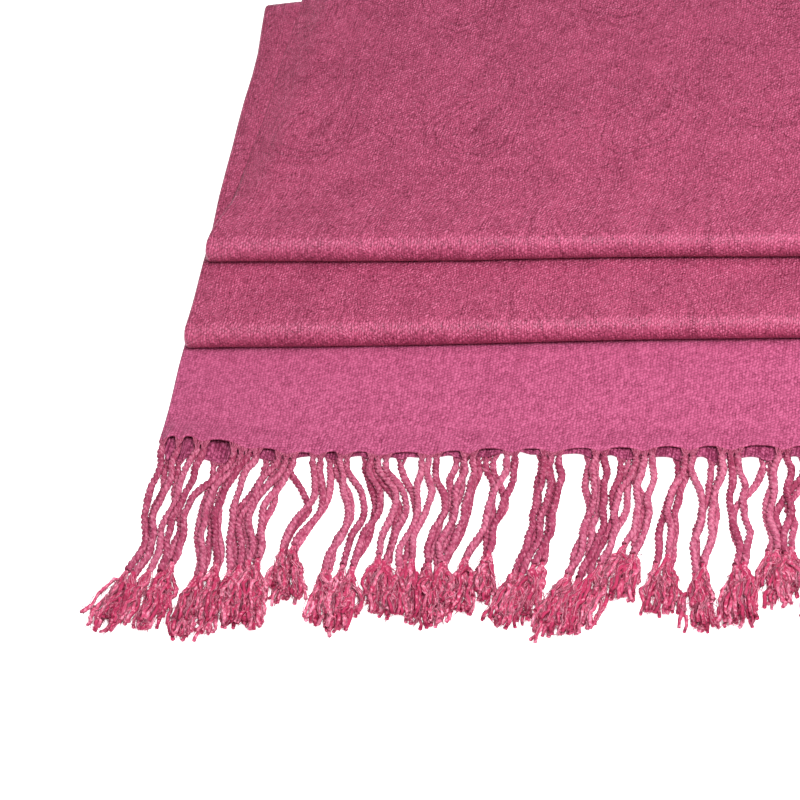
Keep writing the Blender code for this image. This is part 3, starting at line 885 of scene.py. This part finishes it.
print("top fold:", len(top_cloth.data.polygons), "faces")

# %% [markdown]
# ## The layers between
#
# Behind the noses the same cloth goes on, to and fro. One strip runs from the top panel's turned end
# into the stack and wraps another, as when a folded cloth is folded again. Only their edges show, so
# a coarse grid is enough.

# %% Hidden layers
INNER_STEP = 14.0
SEAM = 0.4
WRAP_PROUD = 0.5
WRAP_AT = BACK + WRAP_PROUD - (3.0 * PITCH + PASS) / 2.0
MIDDLE_END, TOP_END = MIDDLE_NOSE + TUCK + SEAM, TOP_NOSE + TUCK + SEAM
INNER_PATHS = (
    # legs of (pass, from, to)
    ((1, BAND_BACK - RETURN_BAND - SEAM, MIDDLE_END),),
    ((4, TOP_END, WRAP_AT), (5, WRAP_AT, TOP_END)),
    (
        (7, FLAP_BACK - RETURN_FLAP - SEAM, TOP_NOSE),
        (6, TOP_NOSE, WRAP_AT),
        (3, WRAP_AT, MIDDLE_NOSE),
        (2, MIDDLE_NOSE, BACK - 1.0),
    ),
)
inner_rows = [
    cloth_path([(number, evenly(start, end, INNER_STEP)) for number, start, end in legs])
    for legs in INNER_PATHS
]
inner_grids = [lay_rows(rows, coarse) for rows in inner_rows]
inner_cloth = make_cloth("inner_cloth", inner_grids, damask, "hidden_layers")
print("hidden layers:", len(inner_cloth.data.polygons), "faces")

# %% [markdown]
# ## The gathered hem
#
# Twisting the warp threads into cords pulls the cloth's edge forward where a few cords start
# together, and lets it curl up a little between. The table says how far along the hem each gather
# lies, how many cords leave the upper ply there, how many leave the lower ply before the next gather,
# and how far along that way they do. The lower ply's edge looks out in front of the upper one's,
# most of all at the left, where the two plies have parted.

# %% Hem shape
GATHERS = (
    # x, upper cords, lower cords, share
    (0.0, 1, 1, 0.50),
    (6.3, 1, 1, 0.10),
    (14.8, 2, 3, 0.50),
    (31.9, 4, 2, 0.62),
    (47.3, 3, 2, 0.00),
    (58.4, 2, 2, 0.62),
    (68.3, 2, 2, 0.72),
    (81.2, 3, 1, 0.41),
    (99.5, 3, 2, 0.78),
    (113.7, 2, 3, 0.40),
    (128.8, 2, 2, 0.82),
    (143.3, 3, 2, 0.85),
    (160.5, 2, 3, 0.65),
    (176.0, 3, 2, 0.84),
    (191.8, 2, 2, 0.66),
    (206.1, 3, 2, 0.70),
    (224.5, 2, 3, 0.60),
    (241.0, 3, 2, 0.80),
    (257.0, 2, 2, 0.30),
    (272.5, 2, 3, 0.62),
    (289.0, 3, 2, 0.75),
    (304.5, 2, 2, 0.35),
    (320.5, 3, 2, 0.80),
    (336.0, 2, 2, 0.55),
    (346.6, 1, 0, 0.00),
)
LEAD_LEFT, LEAD_MIDDLE, LEAD_RIGHT = 8.0, 0.8, 4.2
LEAD_FALLS, LEAD_RISES = (12.0, 42.0), (125.0, 80.0)
FOLD_EASE = 5.0
EDGE_LIFT_LEFT, EDGE_LIFT, EDGE_LIFT_RUN = 1.8, 0.3, (20.0, 30.0)
ARCH_LIFT, ARCH_RETREAT, ARCH_DEPTH = 0.8, 0.5, 12.0
ARCH_WIDE, ARCH_FULLNESS, ARCH_SEED = 12.0, 0.85, 5
NIB_REACH, NIB_HALF = 1.3, 1.5
UNDER_RETREAT, UNDER_LIFT = 0.8, 0.6
WRINKLE = 0.5
ROOT_STEP = 2.85

gather_x, gather_cords, under_cords, shares = np.array(GATHERS).T
under_x = lerp(gather_x[:-1], gather_x[1:], shares[:-1])
under_cords = under_cords[:-1]
arch_rng = np.random.default_rng(ARCH_SEED)
arch_size = arch_rng.uniform(0.7, 1.1, len(GATHERS))
arch_skew = arch_rng.uniform(0.75, 1.35, len(GATHERS))


def under_lead(x):
    """How far the lower ply's edge lies in front of the upper one's."""
    lead = lerp(LEAD_LEFT, LEAD_MIDDLE, past(x, LEAD_FALLS))
    return lead + (LEAD_RIGHT - LEAD_MIDDLE) * past(x, LEAD_RISES)


def arch(x, gathers=gather_x):
    """0 at a gather and about 1 at the crown of an arch between two; no two alike."""
    index = np.clip(np.searchsorted(gathers, x) - 1, 0, len(gathers) - 2)
    span = gathers[index + 1] - gathers[index]
    share = np.clip((x - gathers[index]) / span, 0.0, 1.0) ** arch_skew[index]
    crown = np.maximum(0.0, np.sin(math.pi * share))
    return arch_size[index] * smooth(span / ARCH_WIDE) * crown**ARCH_FULLNESS


def nibs(x, places, cords):
    """1 at each point where cords leave the cloth, tapering to 0 between."""
    half = NIB_HALF + ROOT_STEP / 2.0 * (cords - 1)
    return bell(x[..., None] - places, half).sum(-1).clip(0.0, 1.0)


def hem_shift(x, upper):
    """How far a ply's edge moves back and up from a straight line."""
    from_fold = smooth((x - left_edge(0, 0.0)) / FOLD_EASE)
    if upper:
        nib = nibs(x, gather_x, gather_cords)
        lift = lerp(EDGE_LIFT_LEFT, EDGE_LIFT, past(x, EDGE_LIFT_RUN)) + ARCH_LIFT * arch(x)
        return from_fold * (ARCH_RETREAT * arch(x) - NIB_REACH * nib), from_fold * lift
    nib = nibs(x, under_x, under_cords)
    lobe = arch(x, under_x)
    back = UNDER_RETREAT * lobe - NIB_REACH * nib - under_lead(x)
    return from_fold * back, from_fold * UNDER_LIFT * lobe


print("gathers:", len(GATHERS))

# %% [markdown]
# ## The end band
#
# The band lies flat on the surface with its two plies over each other. Its grid is drawn straight
# and then its first rows are pulled into the hem's shape, fading out over a finger's width, which
# leaves small puckers behind the gathers.

# %% Band
HEM_ROWS = [0.0, 0.7, 1.5, 2.4, 3.4, 4.6, 6.0, 7.6, 9.5, ARCH_DEPTH]
SHOWN_FROM, HIDDEN_FROM = 14.0, 62.0
OVER_COLUMN, UNDER_COLUMN = 0.8, 1.1
BAND_ROW, HIDDEN_ROW = 2.0, 18.0
BAND_TURN_STEP = 2.2
PUCKER = 0.35
# How much painted shade the pleats get: a little at the upper ply's gathers, much along the lower ply.
OVER_PLEAT_SHADE, UNDER_PLEAT_SHADE = 0.2, 0.85


def band_grid():
    section = double_section(columns(UNDER_COLUMN), columns(OVER_COLUMN))
    places = HEM_ROWS + evenly(SHOWN_FROM, EDGE_FRONT, BAND_ROW)
    places += evenly(HIDDEN_FROM, BAND_BACK, HIDDEN_ROW)
    rows = cloth_path(((0, places), (1, [BAND_BACK, BAND_BACK - RETURN_BAND])), BAND_TURN_STEP)
    points, place = lay_rows(rows, section, crease_relief(BAND_CREASES))
    near = smooth(1.0 - rows[:, :1] / ARCH_DEPTH) * (rows[:, 4:5] == 0)
    x = points[..., 0]
    over = section[:, 2] > 0.5
    back_up, lift_up = hem_shift(x, True)
    back_low, lift_low = hem_shift(x, False)
    pucker = PUCKER * np.sin(math.pi * near) * (0.5 - arch(x))
    wrinkle = WRINKLE * near * (1.0 + np.sin(x / 1.7 + 1.5 * np.sin(x / 5.3)))
    # The place's third number: painted shade for the pleats, strongest on the lower ply under the upper
    # one's edge.
    place[..., 2] = np.where(over, OVER_PLEAT_SHADE * nibs(x, gather_x, gather_cords), UNDER_PLEAT_SHADE) * near**0.5
    points[..., 1] += near * np.where(over, back_up, back_low)
    points[..., 2] += np.where(over, near * lift_up + pucker, near * lift_low + wrinkle)
    return points, place


band_cloth = make_cloth("band_cloth", [band_grid()], plain, "end_band")
print("end band:", len(band_cloth.data.polygons), "faces")

# %% [markdown]
# ## Where the cords run
#
# A fringe is not combed. Its cords fall in bunches that lean and cross, with gaps between. Each row
# of the table is one bunch, and its three pairs of sides say how it narrows and spreads on the way
# out. A smooth curve through the root and the three places is a cord's middle line.

# %% Cord lines
BUNCHES = (
    # upper, lower, mid_l, mid_r, low_l, low_r, tip_l, tip_r, reach
    (5, 2, -1.0, 17.8, -1.4, 16.2, -12.0, 16.5, 87),
    (2, 3, 18.8, 28.6, 20.6, 32.0, 19.0, 32.1, 93),
    (4, 3, 29.5, 45.9, 33.4, 46.0, 35.8, 48.0, 89),
    (2, 2, 56.5, 67.0, 50.4, 58.8, 50.0, 60.8, 77),
    (3, 2, 72.4, 86.2, 67.0, 81.6, 65.7, 82.4, 89),
    (4, 2, 88.9, 103.6, 84.8, 101.0, 86.2, 102.9, 85),
    (3, 3, 106.1, 118.1, 103.1, 114.0, 104.2, 115.2, 87),
    (2, 2, 122.6, 131.2, 117.6, 127.4, 116.4, 127.7, 82),
    (3, 2, 138.6, 149.0, 135.6, 145.4, 129.6, 143.4, 88),
    (3, 4, 156.1, 172.1, 154.0, 168.1, 145.8, 163.4, 91),
    (2, 1, 174.2, 181.6, 172.4, 179.8, 166.0, 178.4, 82),
    (1, 2, 183.2, 190.8, 181.7, 191.3, 181.0, 193.2, 82),
    (2, 2, 196.0, 204.4, 194.3, 203.6, 195.1, 205.8, 88),
    (2, 1, 206.6, 214.4, 207.9, 216.6, 207.5, 218.2, 89),
    (2, 3, 218.3, 230.8, 219.7, 231.0, 220.0, 233.0, 77),
    (3, 3, 238.0, 252.0, 237.0, 250.0, 236.0, 251.0, 88),
    (3, 2, 256.0, 269.0, 254.0, 266.6, 252.6, 267.0, 92),
    (3, 3, 275.0, 288.4, 272.0, 284.0, 269.0, 284.6, 85),
    (2, 2, 292.0, 302.6, 291.0, 300.6, 289.6, 301.0, 79),
    (2, 1, 305.4, 314.6, 304.0, 313.2, 302.6, 314.0, 90),
    (2, 2, 317.6, 329.0, 316.6, 328.0, 317.0, 331.0, 86),
    (3, 3, 332.4, 346.6, 331.0, 345.0, 334.0, 352.0, 91),
)
KNOTS = np.array((0.0, 0.36, 0.62, 1.0))
SOLID_CORD, CORD_APART = 2.2, 0.5
CORD_SWAY = 1.3
CORD_SHORT, INNER_SHORT = 9.0, 0.4
SEED = 11


def cord_roots(upper):
    """X where each cord of a ply starts."""
    places, counts = (gather_x, gather_cords) if upper else (under_x, under_cords)
    roots = []
    for x, count in zip(places, counts):
        roots += [x + (i - (count - 1) / 2.0) * ROOT_STEP for i in range(int(count))]
    return roots


def cord_lines(upper):
    """For each cord of a ply, the x at its root and three places out, and its length."""
    rng = np.random.default_rng(SEED + upper)
    roots = iter(cord_roots(upper))
    lines = []
    for upper_cords, lower_cords, *sides, reach in BUNCHES:
        count = upper_cords if upper else lower_cords
        cells = [(sides[i + 1] - sides[i]) / count for i in (0, 2, 4)]
        free = [(cell - SOLID_CORD - CORD_APART) / 2.0 for cell in cells]
        play = [max(0.0, min(CORD_SWAY, room)) for room in free]
        for i in range(count):
            sway = rng.uniform(-1.0, 1.0, 3)
            short = rng.uniform(0.0, CORD_SHORT) * (INNER_SHORT if 0 < i < count - 1 else 1.0)
            xs = [sides[2 * k] + cells[k] * (i + 0.5) + play[k] * sway[k] for k in range(3)]
            lines.append((np.array([next(roots), *xs]), reach - short))
    return lines


def along_line(places, shares):
    """X at each share of the way out, on a smooth curve through a cord's four places."""
    slopes = np.zeros(4)
    for i in (1, 2, 3):
        after = min(i + 1, 3)
        slopes[i] = (places[after] - places[i - 1]) / (KNOTS[after] - KNOTS[i - 1])
    k = np.clip(np.searchsorted(KNOTS, shares, side="right") - 1, 0, 2)
    span = KNOTS[k + 1] - KNOTS[k]
    t = (shares - KNOTS[k]) / span
    x = lerp(places[k], places[k + 1], smooth(t))
    return x + span * (slopes[k] * t * (1.0 - t) ** 2 - slopes[k + 1] * t**2 * (1.0 - t))


print("cords:", len(cord_roots(True)), "over,", len(cord_roots(False)), "under")

# %% [markdown]
# ## Cord and tuft finish
#
# Twisted yarn is matt and fibrous. Its tone varies from cord to cord and along each one, and fine
# streaks follow the fibres, the lighter ones partly the fibres' own tone and partly painted
# highlights. The frayed ends are the same fibre with air between; their colours are set lighter and
# more saturated than the cords', as painted light for the light that passes through them. In a
# tuft the thick locks get darker tones as painted shade, and single fibres lighter ones as painted
# highlights.

# %% Yarn finishes


def yarn_finish(name, deep, base, light, streak, depth, variety):
    n = Nodes(name)
    around, along, tone = n.place()
    fibre = n.noise((n.times(around, 6.0), n.times(along, 0.9), n.times(tone, 40.0)), streak, 3.0)
    paler = n.minus(tone, 0.5)
    share = n.sum(n.times(paler, variety), n.streaks(along, tone, 0.16, 57.0))
    body = n.mix(n.ramp(share, 0.25, 0.75), deep, base)
    # Painted highlights, partly the fibres' own tone: the light colour goes on bright fibre streaks and
    # paler-toned fibres.
    painted_highlight = n.ramp(n.sum(fibre, n.times(paler, 0.5 * variety)), 0.40, 0.68, 0.0, 0.75)
    return n.finish(n.mix(painted_highlight, body, light), fibre, depth, roughness=0.9)


cord_yarn = yarn_finish(
    "cord_yarn",
    deep=(0.235, 0.030, 0.070, 1.0),
    base=(0.360, 0.066, 0.130, 1.0),
    light=(0.560, 0.185, 0.275, 1.0),
    streak=1.1,
    depth=0.6,
    variety=0.25,
)
# Lighter and more saturated than the cord yarn though it is the same fibre: painted light for the light
# that passes through a loose tuft.
tuft_yarn = yarn_finish(
    "tuft_yarn",
    deep=(0.370, 0.032, 0.088, 1.0),
    base=(0.560, 0.106, 0.200, 1.0),
    light=(0.860, 0.370, 0.485, 1.0),
    streak=0.9,
    depth=0.5,
    variety=0.8,
)
print("yarn finishes:", cord_yarn.name, tuft_yarn.name)

# %% [markdown]
# ## Twisted cords
#
# Each cord is two plies of yarn wound round each other, which gives it its rope-like edge: two tubes
# that spiral about one middle line, half a turn apart. The middle line also gets small kinks, since
# an over-twisted yarn never lies quite straight. Fans of single warp threads join them to the cloth.

# %% Tubes along many lines


def frames_along(line):
    """Side and up directions along a line that runs mostly level."""
    ahead = np.gradient(line, axis=0)
    ahead /= np.linalg.norm(ahead, axis=1, keepdims=True)
    side = np.cross(ahead, (0.0, 0.0, 1.0))
    side /= np.linalg.norm(side, axis=1, keepdims=True)
    return side, np.cross(side, ahead)


def tube(line, radii, sides):
    """Rings of points round a line, and the faces between them."""
    side, up = frames_along(line)
    angles = np.linspace(0.0, TURN, sides, endpoint=False)
    ring = np.cos(angles)[None, :, None] * side[:, None] + np.sin(angles)[None, :, None] * up[:, None]
    points = line[:, None] + ring * np.asarray(radii)[:, None, None]
    rows = len(line)
    index = np.arange(rows * sides).reshape(rows, sides)
    after = np.roll(index, -1, axis=1)
    faces = np.stack([index[:-1], after[:-1], after[1:], index[1:]], -1).reshape(-1, 4)
    return points.reshape(-1, 3), faces


class Bundle:
    """Collects many tubes into one mesh, with a place for each point."""

    def __init__(self):
        self.points, self.faces, self.places, self.caps, self.count = [], [], [], [], 0

    def add(self, line, radii, sides, tone):
        points, faces = tube(line, radii, sides)
        along = np.repeat(running_length(line), sides)
        around = np.tile(np.arange(sides) / sides, len(line))
        self.points.append(points)
        self.faces.append(faces + self.count)
        self.places.append(np.stack([around, along, np.full(len(points), tone)], -1))
        ends = (range(sides), range(len(points) - 1, len(points) - 1 - sides, -1))
        self.caps += [[self.count + i for i in end] for end in ends]
        self.count += len(points)

    def make(self, name, finish, node):
        faces = np.concatenate(self.faces).tolist() + self.caps
        points, places = np.concatenate(self.points), np.concatenate(self.places)
        return make_mesh(name, points, faces, places, finish, node)


# %% Twisted cords
PLY_RADIUS, PLY_OFFSET = 0.92, 0.58
TWIST_PITCH = 4.2
CORD_STEP = 0.7
CORD_SIDES = 6
ROUGHNESS = 0.09
KINKS = ((31.0, 0.90), (15.0, 0.28), (7.0, 0.06))
FRAY_FROM = 0.68
UNDER_Z = 1.35
OVER_ROOT_Z, OVER_Z, OVER_END_Z = 2.5, 3.7, 3.2
ROOT_AT = -1.8
FAN_JOIN, FAN_THREADS, FAN_POINTS = 6, 8, 7
FAN_WIDTH, FAN_RADIUS = 3.3, 0.33
CORD_SEEDS, FAN_SEEDS = (21, 22), (23, 24)


def middle_line(places, length, upper, rng, shares):
    """A cord's middle line in the layout, with its small kinks."""
    x = along_line(places, shares)
    start = ROOT_AT if upper else ROOT_AT - float(under_lead(places[0]))
    y = lerp(start, -length, shares)
    loose = smooth(shares / 0.12)
    for wave, size in KINKS:
        phase = rng.uniform(0.0, TURN)
        x = x + loose * size * np.sin(TURN * y / (wave * rng.uniform(0.75, 1.35)) + phase)
    if upper:
        z = lerp(OVER_ROOT_Z, OVER_Z, smooth(shares / 0.15)) + (OVER_END_Z - OVER_Z) * smooth(shares * 1.3)
        z = z + loose * 0.3 * np.sin(y / 6.0 + rng.uniform(0.0, 6.0))
    else:
        z = np.full_like(y, UNDER_Z) + loose * 0.12 * (1.0 + np.sin(y / 7.0 + rng.uniform(0.0, 6.0)))
    return np.stack([x, y, z], -1)


def twist_cords(bundle, upper, seed):
    """The twisted part of a ply's cords; gives each one's line and where it frays."""
    rng = np.random.default_rng(seed)
    ends = []
    for places, length in cord_lines(upper):
        reach = rng.uniform(FRAY_FROM - 0.03, FRAY_FROM + 0.05)
        shares = np.linspace(0.0, reach, max(8, round(length * reach / CORD_STEP)))
        line = middle_line(places, length, upper, rng, shares)
        side, up = frames_along(line)
        run = running_length(line)
        turn = TURN * run / (TWIST_PITCH * rng.uniform(0.9, 1.15)) + rng.uniform(0.0, 6.0)
        swell = 1.0 + 0.10 * np.sin(run / 4.0 + rng.uniform(0.0, 6.0))
        swell = swell + ROUGHNESS * rng.uniform(-1.0, 1.0, len(run))
        tone = rng.uniform(0.0, 1.0)
        for half_turn in (0.0, math.pi):
            around = turn + half_turn
            spiral = np.cos(around)[:, None] * side + np.sin(around)[:, None] * up
            slim = lerp(0.55, 1.0, smooth(run / 4.0))
            radii = PLY_RADIUS * swell * slim
            bundle.add(line + spiral * (PLY_OFFSET * slim)[:, None], radii, CORD_SIDES, tone)
        ends.append((places, length, line, reach))
    return ends


def fan_warp(bundle, ends, upper, seed):
    """Warp threads that run from the cloth's edge into each cord."""
    rng = np.random.default_rng(seed)
    share = np.linspace(0.0, 1.0, FAN_POINTS)
    for places, _, line, _ in ends:
        join = line[FAN_JOIN]
        for thread in range(FAN_THREADS):
            across = (thread / (FAN_THREADS - 1.0) - 0.5) * FAN_WIDTH + rng.uniform(-0.3, 0.3)
            start_x = np.array([places[0] + across])
            back, lift = hem_shift(start_x, upper)
            height = HIGH_PLY if upper else LOW_PLY
            start = np.array([start_x[0], back[0] + 0.8, height + lift[0] - 0.15])
            end = join + np.array([across * 0.16, 0.0, rng.uniform(-0.4, 0.4)])
            points = lerp(start, end, share[:, None])
            points[:, 0] = lerp(start[0], end[0], smooth(share * 1.1))
            points[:, 2] = lerp(start[2], end[2], smooth(share)) + 0.25 * np.sin(math.pi * share)
            bundle.add(points, np.full(FAN_POINTS, FAN_RADIUS), 4, rng.uniform(0.2, 0.8))


def make_cords(side, node, upper):
    bundle = Bundle()
    ends = twist_cords(bundle, upper, CORD_SEEDS[not upper])
    fan_warp(bundle, ends, upper, FAN_SEEDS[not upper])
    return bundle.make("cords_" + side, cord_yarn, node), ends


cords_over, over_ends = make_cords("over", "fringe_upper", True)
cords_under, under_ends = make_cords("under", "fringe_lower", False)
print("cord faces:", len(cords_over.data.polygons), "over,", len(cords_under.data.polygons), "under")

# %% [markdown]
# ## Frayed ends
#
# Past its last turn the yarn opens into a few woolly locks. The fibres in a lock are crimped and
# matted, so they cling to it and only a few stray. A tuft is grown the same way: locks part from
# the cord's end and wander outwards, and fine fibres run along each of them and a little past it.

# %% Tufts
LOCKS, LOCK_POINTS, LOCK_SIDES = 8, 13, 5
LOCK_RADIUS, LOCK_TAPER = 0.9, 0.8
FIBRES, FIBRE_POINTS, FIBRE_SIDES = 12, 5, 3
FIBRE_RADIUS = 0.17
FIBRE_LENGTH = (4.0, 9.0)
FIBRE_WRAP = 1.3
TUFT_HALF = 4.4
TUFT_TOP, UNDER_TUFT_TOP = 5.2, 3.2
FLOOR_CLEAR = 0.3
STRAYS, STRAY_REACH = 0.07, 2.6
TUFT_SEEDS = (31, 32)


def crimp(rng, run, sizes, waves):
    """A wandering offset that grows along a fibre."""
    total = np.zeros_like(run)
    for size, wave in zip(sizes, waves):
        total += size * np.sin(TURN * run / (wave * rng.uniform(0.8, 1.3)) + rng.uniform(0.0, 6.3))
    return total * smooth(run / 5.0)


def grow_lock(axis, run, start_z, upper, rng):
    """One lock's middle line, leaning away from the tuft's axis."""
    lean = rng.uniform(-1.0, 1.0)
    height = rng.uniform(FLOOR_CLEAR + LOCK_RADIUS, TUFT_TOP if upper else UNDER_TUFT_TOP)
    x = axis[:, 0] + crimp(rng, run, (0.7, 0.35), (16.0, 7.0)) + lean * TUFT_HALF * smooth(run / 15.0)
    y = axis[:, 1] + crimp(rng, run, (0.6, 0.3), (9.0, 6.0)) + rng.uniform(0.0, 3.5) * run / run[-1]
    z = lerp(start_z, height, smooth(run / 11.0)) + crimp(rng, run, (0.6, 0.3), (8.0, 6.0))
    return np.stack([x, y, np.maximum(z, FLOOR_CLEAR + LOCK_RADIUS)], -1)


def grow_fibre(lock, run, rng):
    """One fibre that runs along a lock, turning a little round it."""
    length = rng.uniform(*FIBRE_LENGTH)
    first = rng.uniform(0.0, max(run[-1] - 0.8 * length, 1.0))
    along = np.linspace(first, first + length, FIBRE_POINTS)
    x, y, z = (np.interp(along, run, lock[:, i]) for i in range(3))
    gone = along - first
    angle = rng.uniform(0.0, TURN) + rng.uniform(-FIBRE_WRAP, FIBRE_WRAP) * gone / length
    stray = STRAY_REACH * smooth(gone / length) * (rng.uniform() < STRAYS)
    out = LOCK_RADIUS * rng.uniform(0.8, 1.5) + stray + crimp(rng, gone, (0.25,), (4.0,))
    past_end = np.maximum(along - run[-1], 0.0)
    x += np.cos(angle) * out + crimp(rng, gone, (0.35,), (5.0,)) + past_end * rng.uniform(-0.8, 0.8)
    y += crimp(rng, gone, (0.4,), (4.5,)) - 0.7 * past_end
    z += np.sin(angle) * out
    low = FLOOR_CLEAR + FIBRE_RADIUS + 0.2 * rng.uniform()
    return np.stack([x, y, np.maximum(z, low)], -1)


def grow_tuft(locks, fibres, end, upper, rng):
    places, length, line, reach = end
    shares = np.linspace(reach, 0.99, LOCK_POINTS)
    axis = np.stack([along_line(places, shares), -length * shares], -1)
    axis += line[-1, :2] - axis[0]
    run = running_length(axis)
    for _ in range(LOCKS):
        lock = grow_lock(axis, run, line[-1, 2], upper, rng)
        taper = np.linspace(1.0, LOCK_TAPER, LOCK_POINTS)
        radii = LOCK_RADIUS * rng.uniform(0.7, 1.2, LOCK_POINTS) * taper
        # Locks take the darker tones, as painted shade inside the tuft.
        locks.add(lock, radii, LOCK_SIDES, rng.uniform(0.1, 0.5))
        for _ in range(FIBRES):
            radii = FIBRE_RADIUS * np.linspace(1.1, 0.6, FIBRE_POINTS)
            # Fibres take the lighter tones, as painted highlights on the outside of the tuft.
            fibres.add(grow_fibre(lock, run, rng), radii, FIBRE_SIDES, rng.uniform(0.35, 1.0))


def grow_tufts(side, node, upper, ends):
    rng = np.random.default_rng(TUFT_SEEDS[not upper])
    locks, fibres = Bundle(), Bundle()
    for end in ends:
        grow_tuft(locks, fibres, end, upper, rng)
    kinds = (("tufts_", locks), ("fibres_", fibres))
    return [bundle.make(kind + side, tuft_yarn, node) for kind, bundle in kinds]


tufts = grow_tufts("over", "fringe_upper", True, over_ends)
tufts += grow_tufts("under", "fringe_lower", False, under_ends)
print("tuft faces:", {tuft.name: len(tuft.data.polygons) for tuft in tufts})

# %% [markdown]
# ## The cut of the cloth
#
# The stole's width is twice the folded width, and each stretch's length is the length of its path.


# %% [markdown]
# ## Counting triangles
#
# Fine cords take many triangles, so each piece's are counted.

# %% Count the triangles
graph = bpy.context.evaluated_depsgraph_get()
total = 0
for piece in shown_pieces():
    mesh = piece.evaluated_get(graph).to_mesh()
    count = sum(len(p.vertices) - 2 for p in mesh.polygons)
    total += count
    print(piece.name, count, "triangles")
print("all:", total)
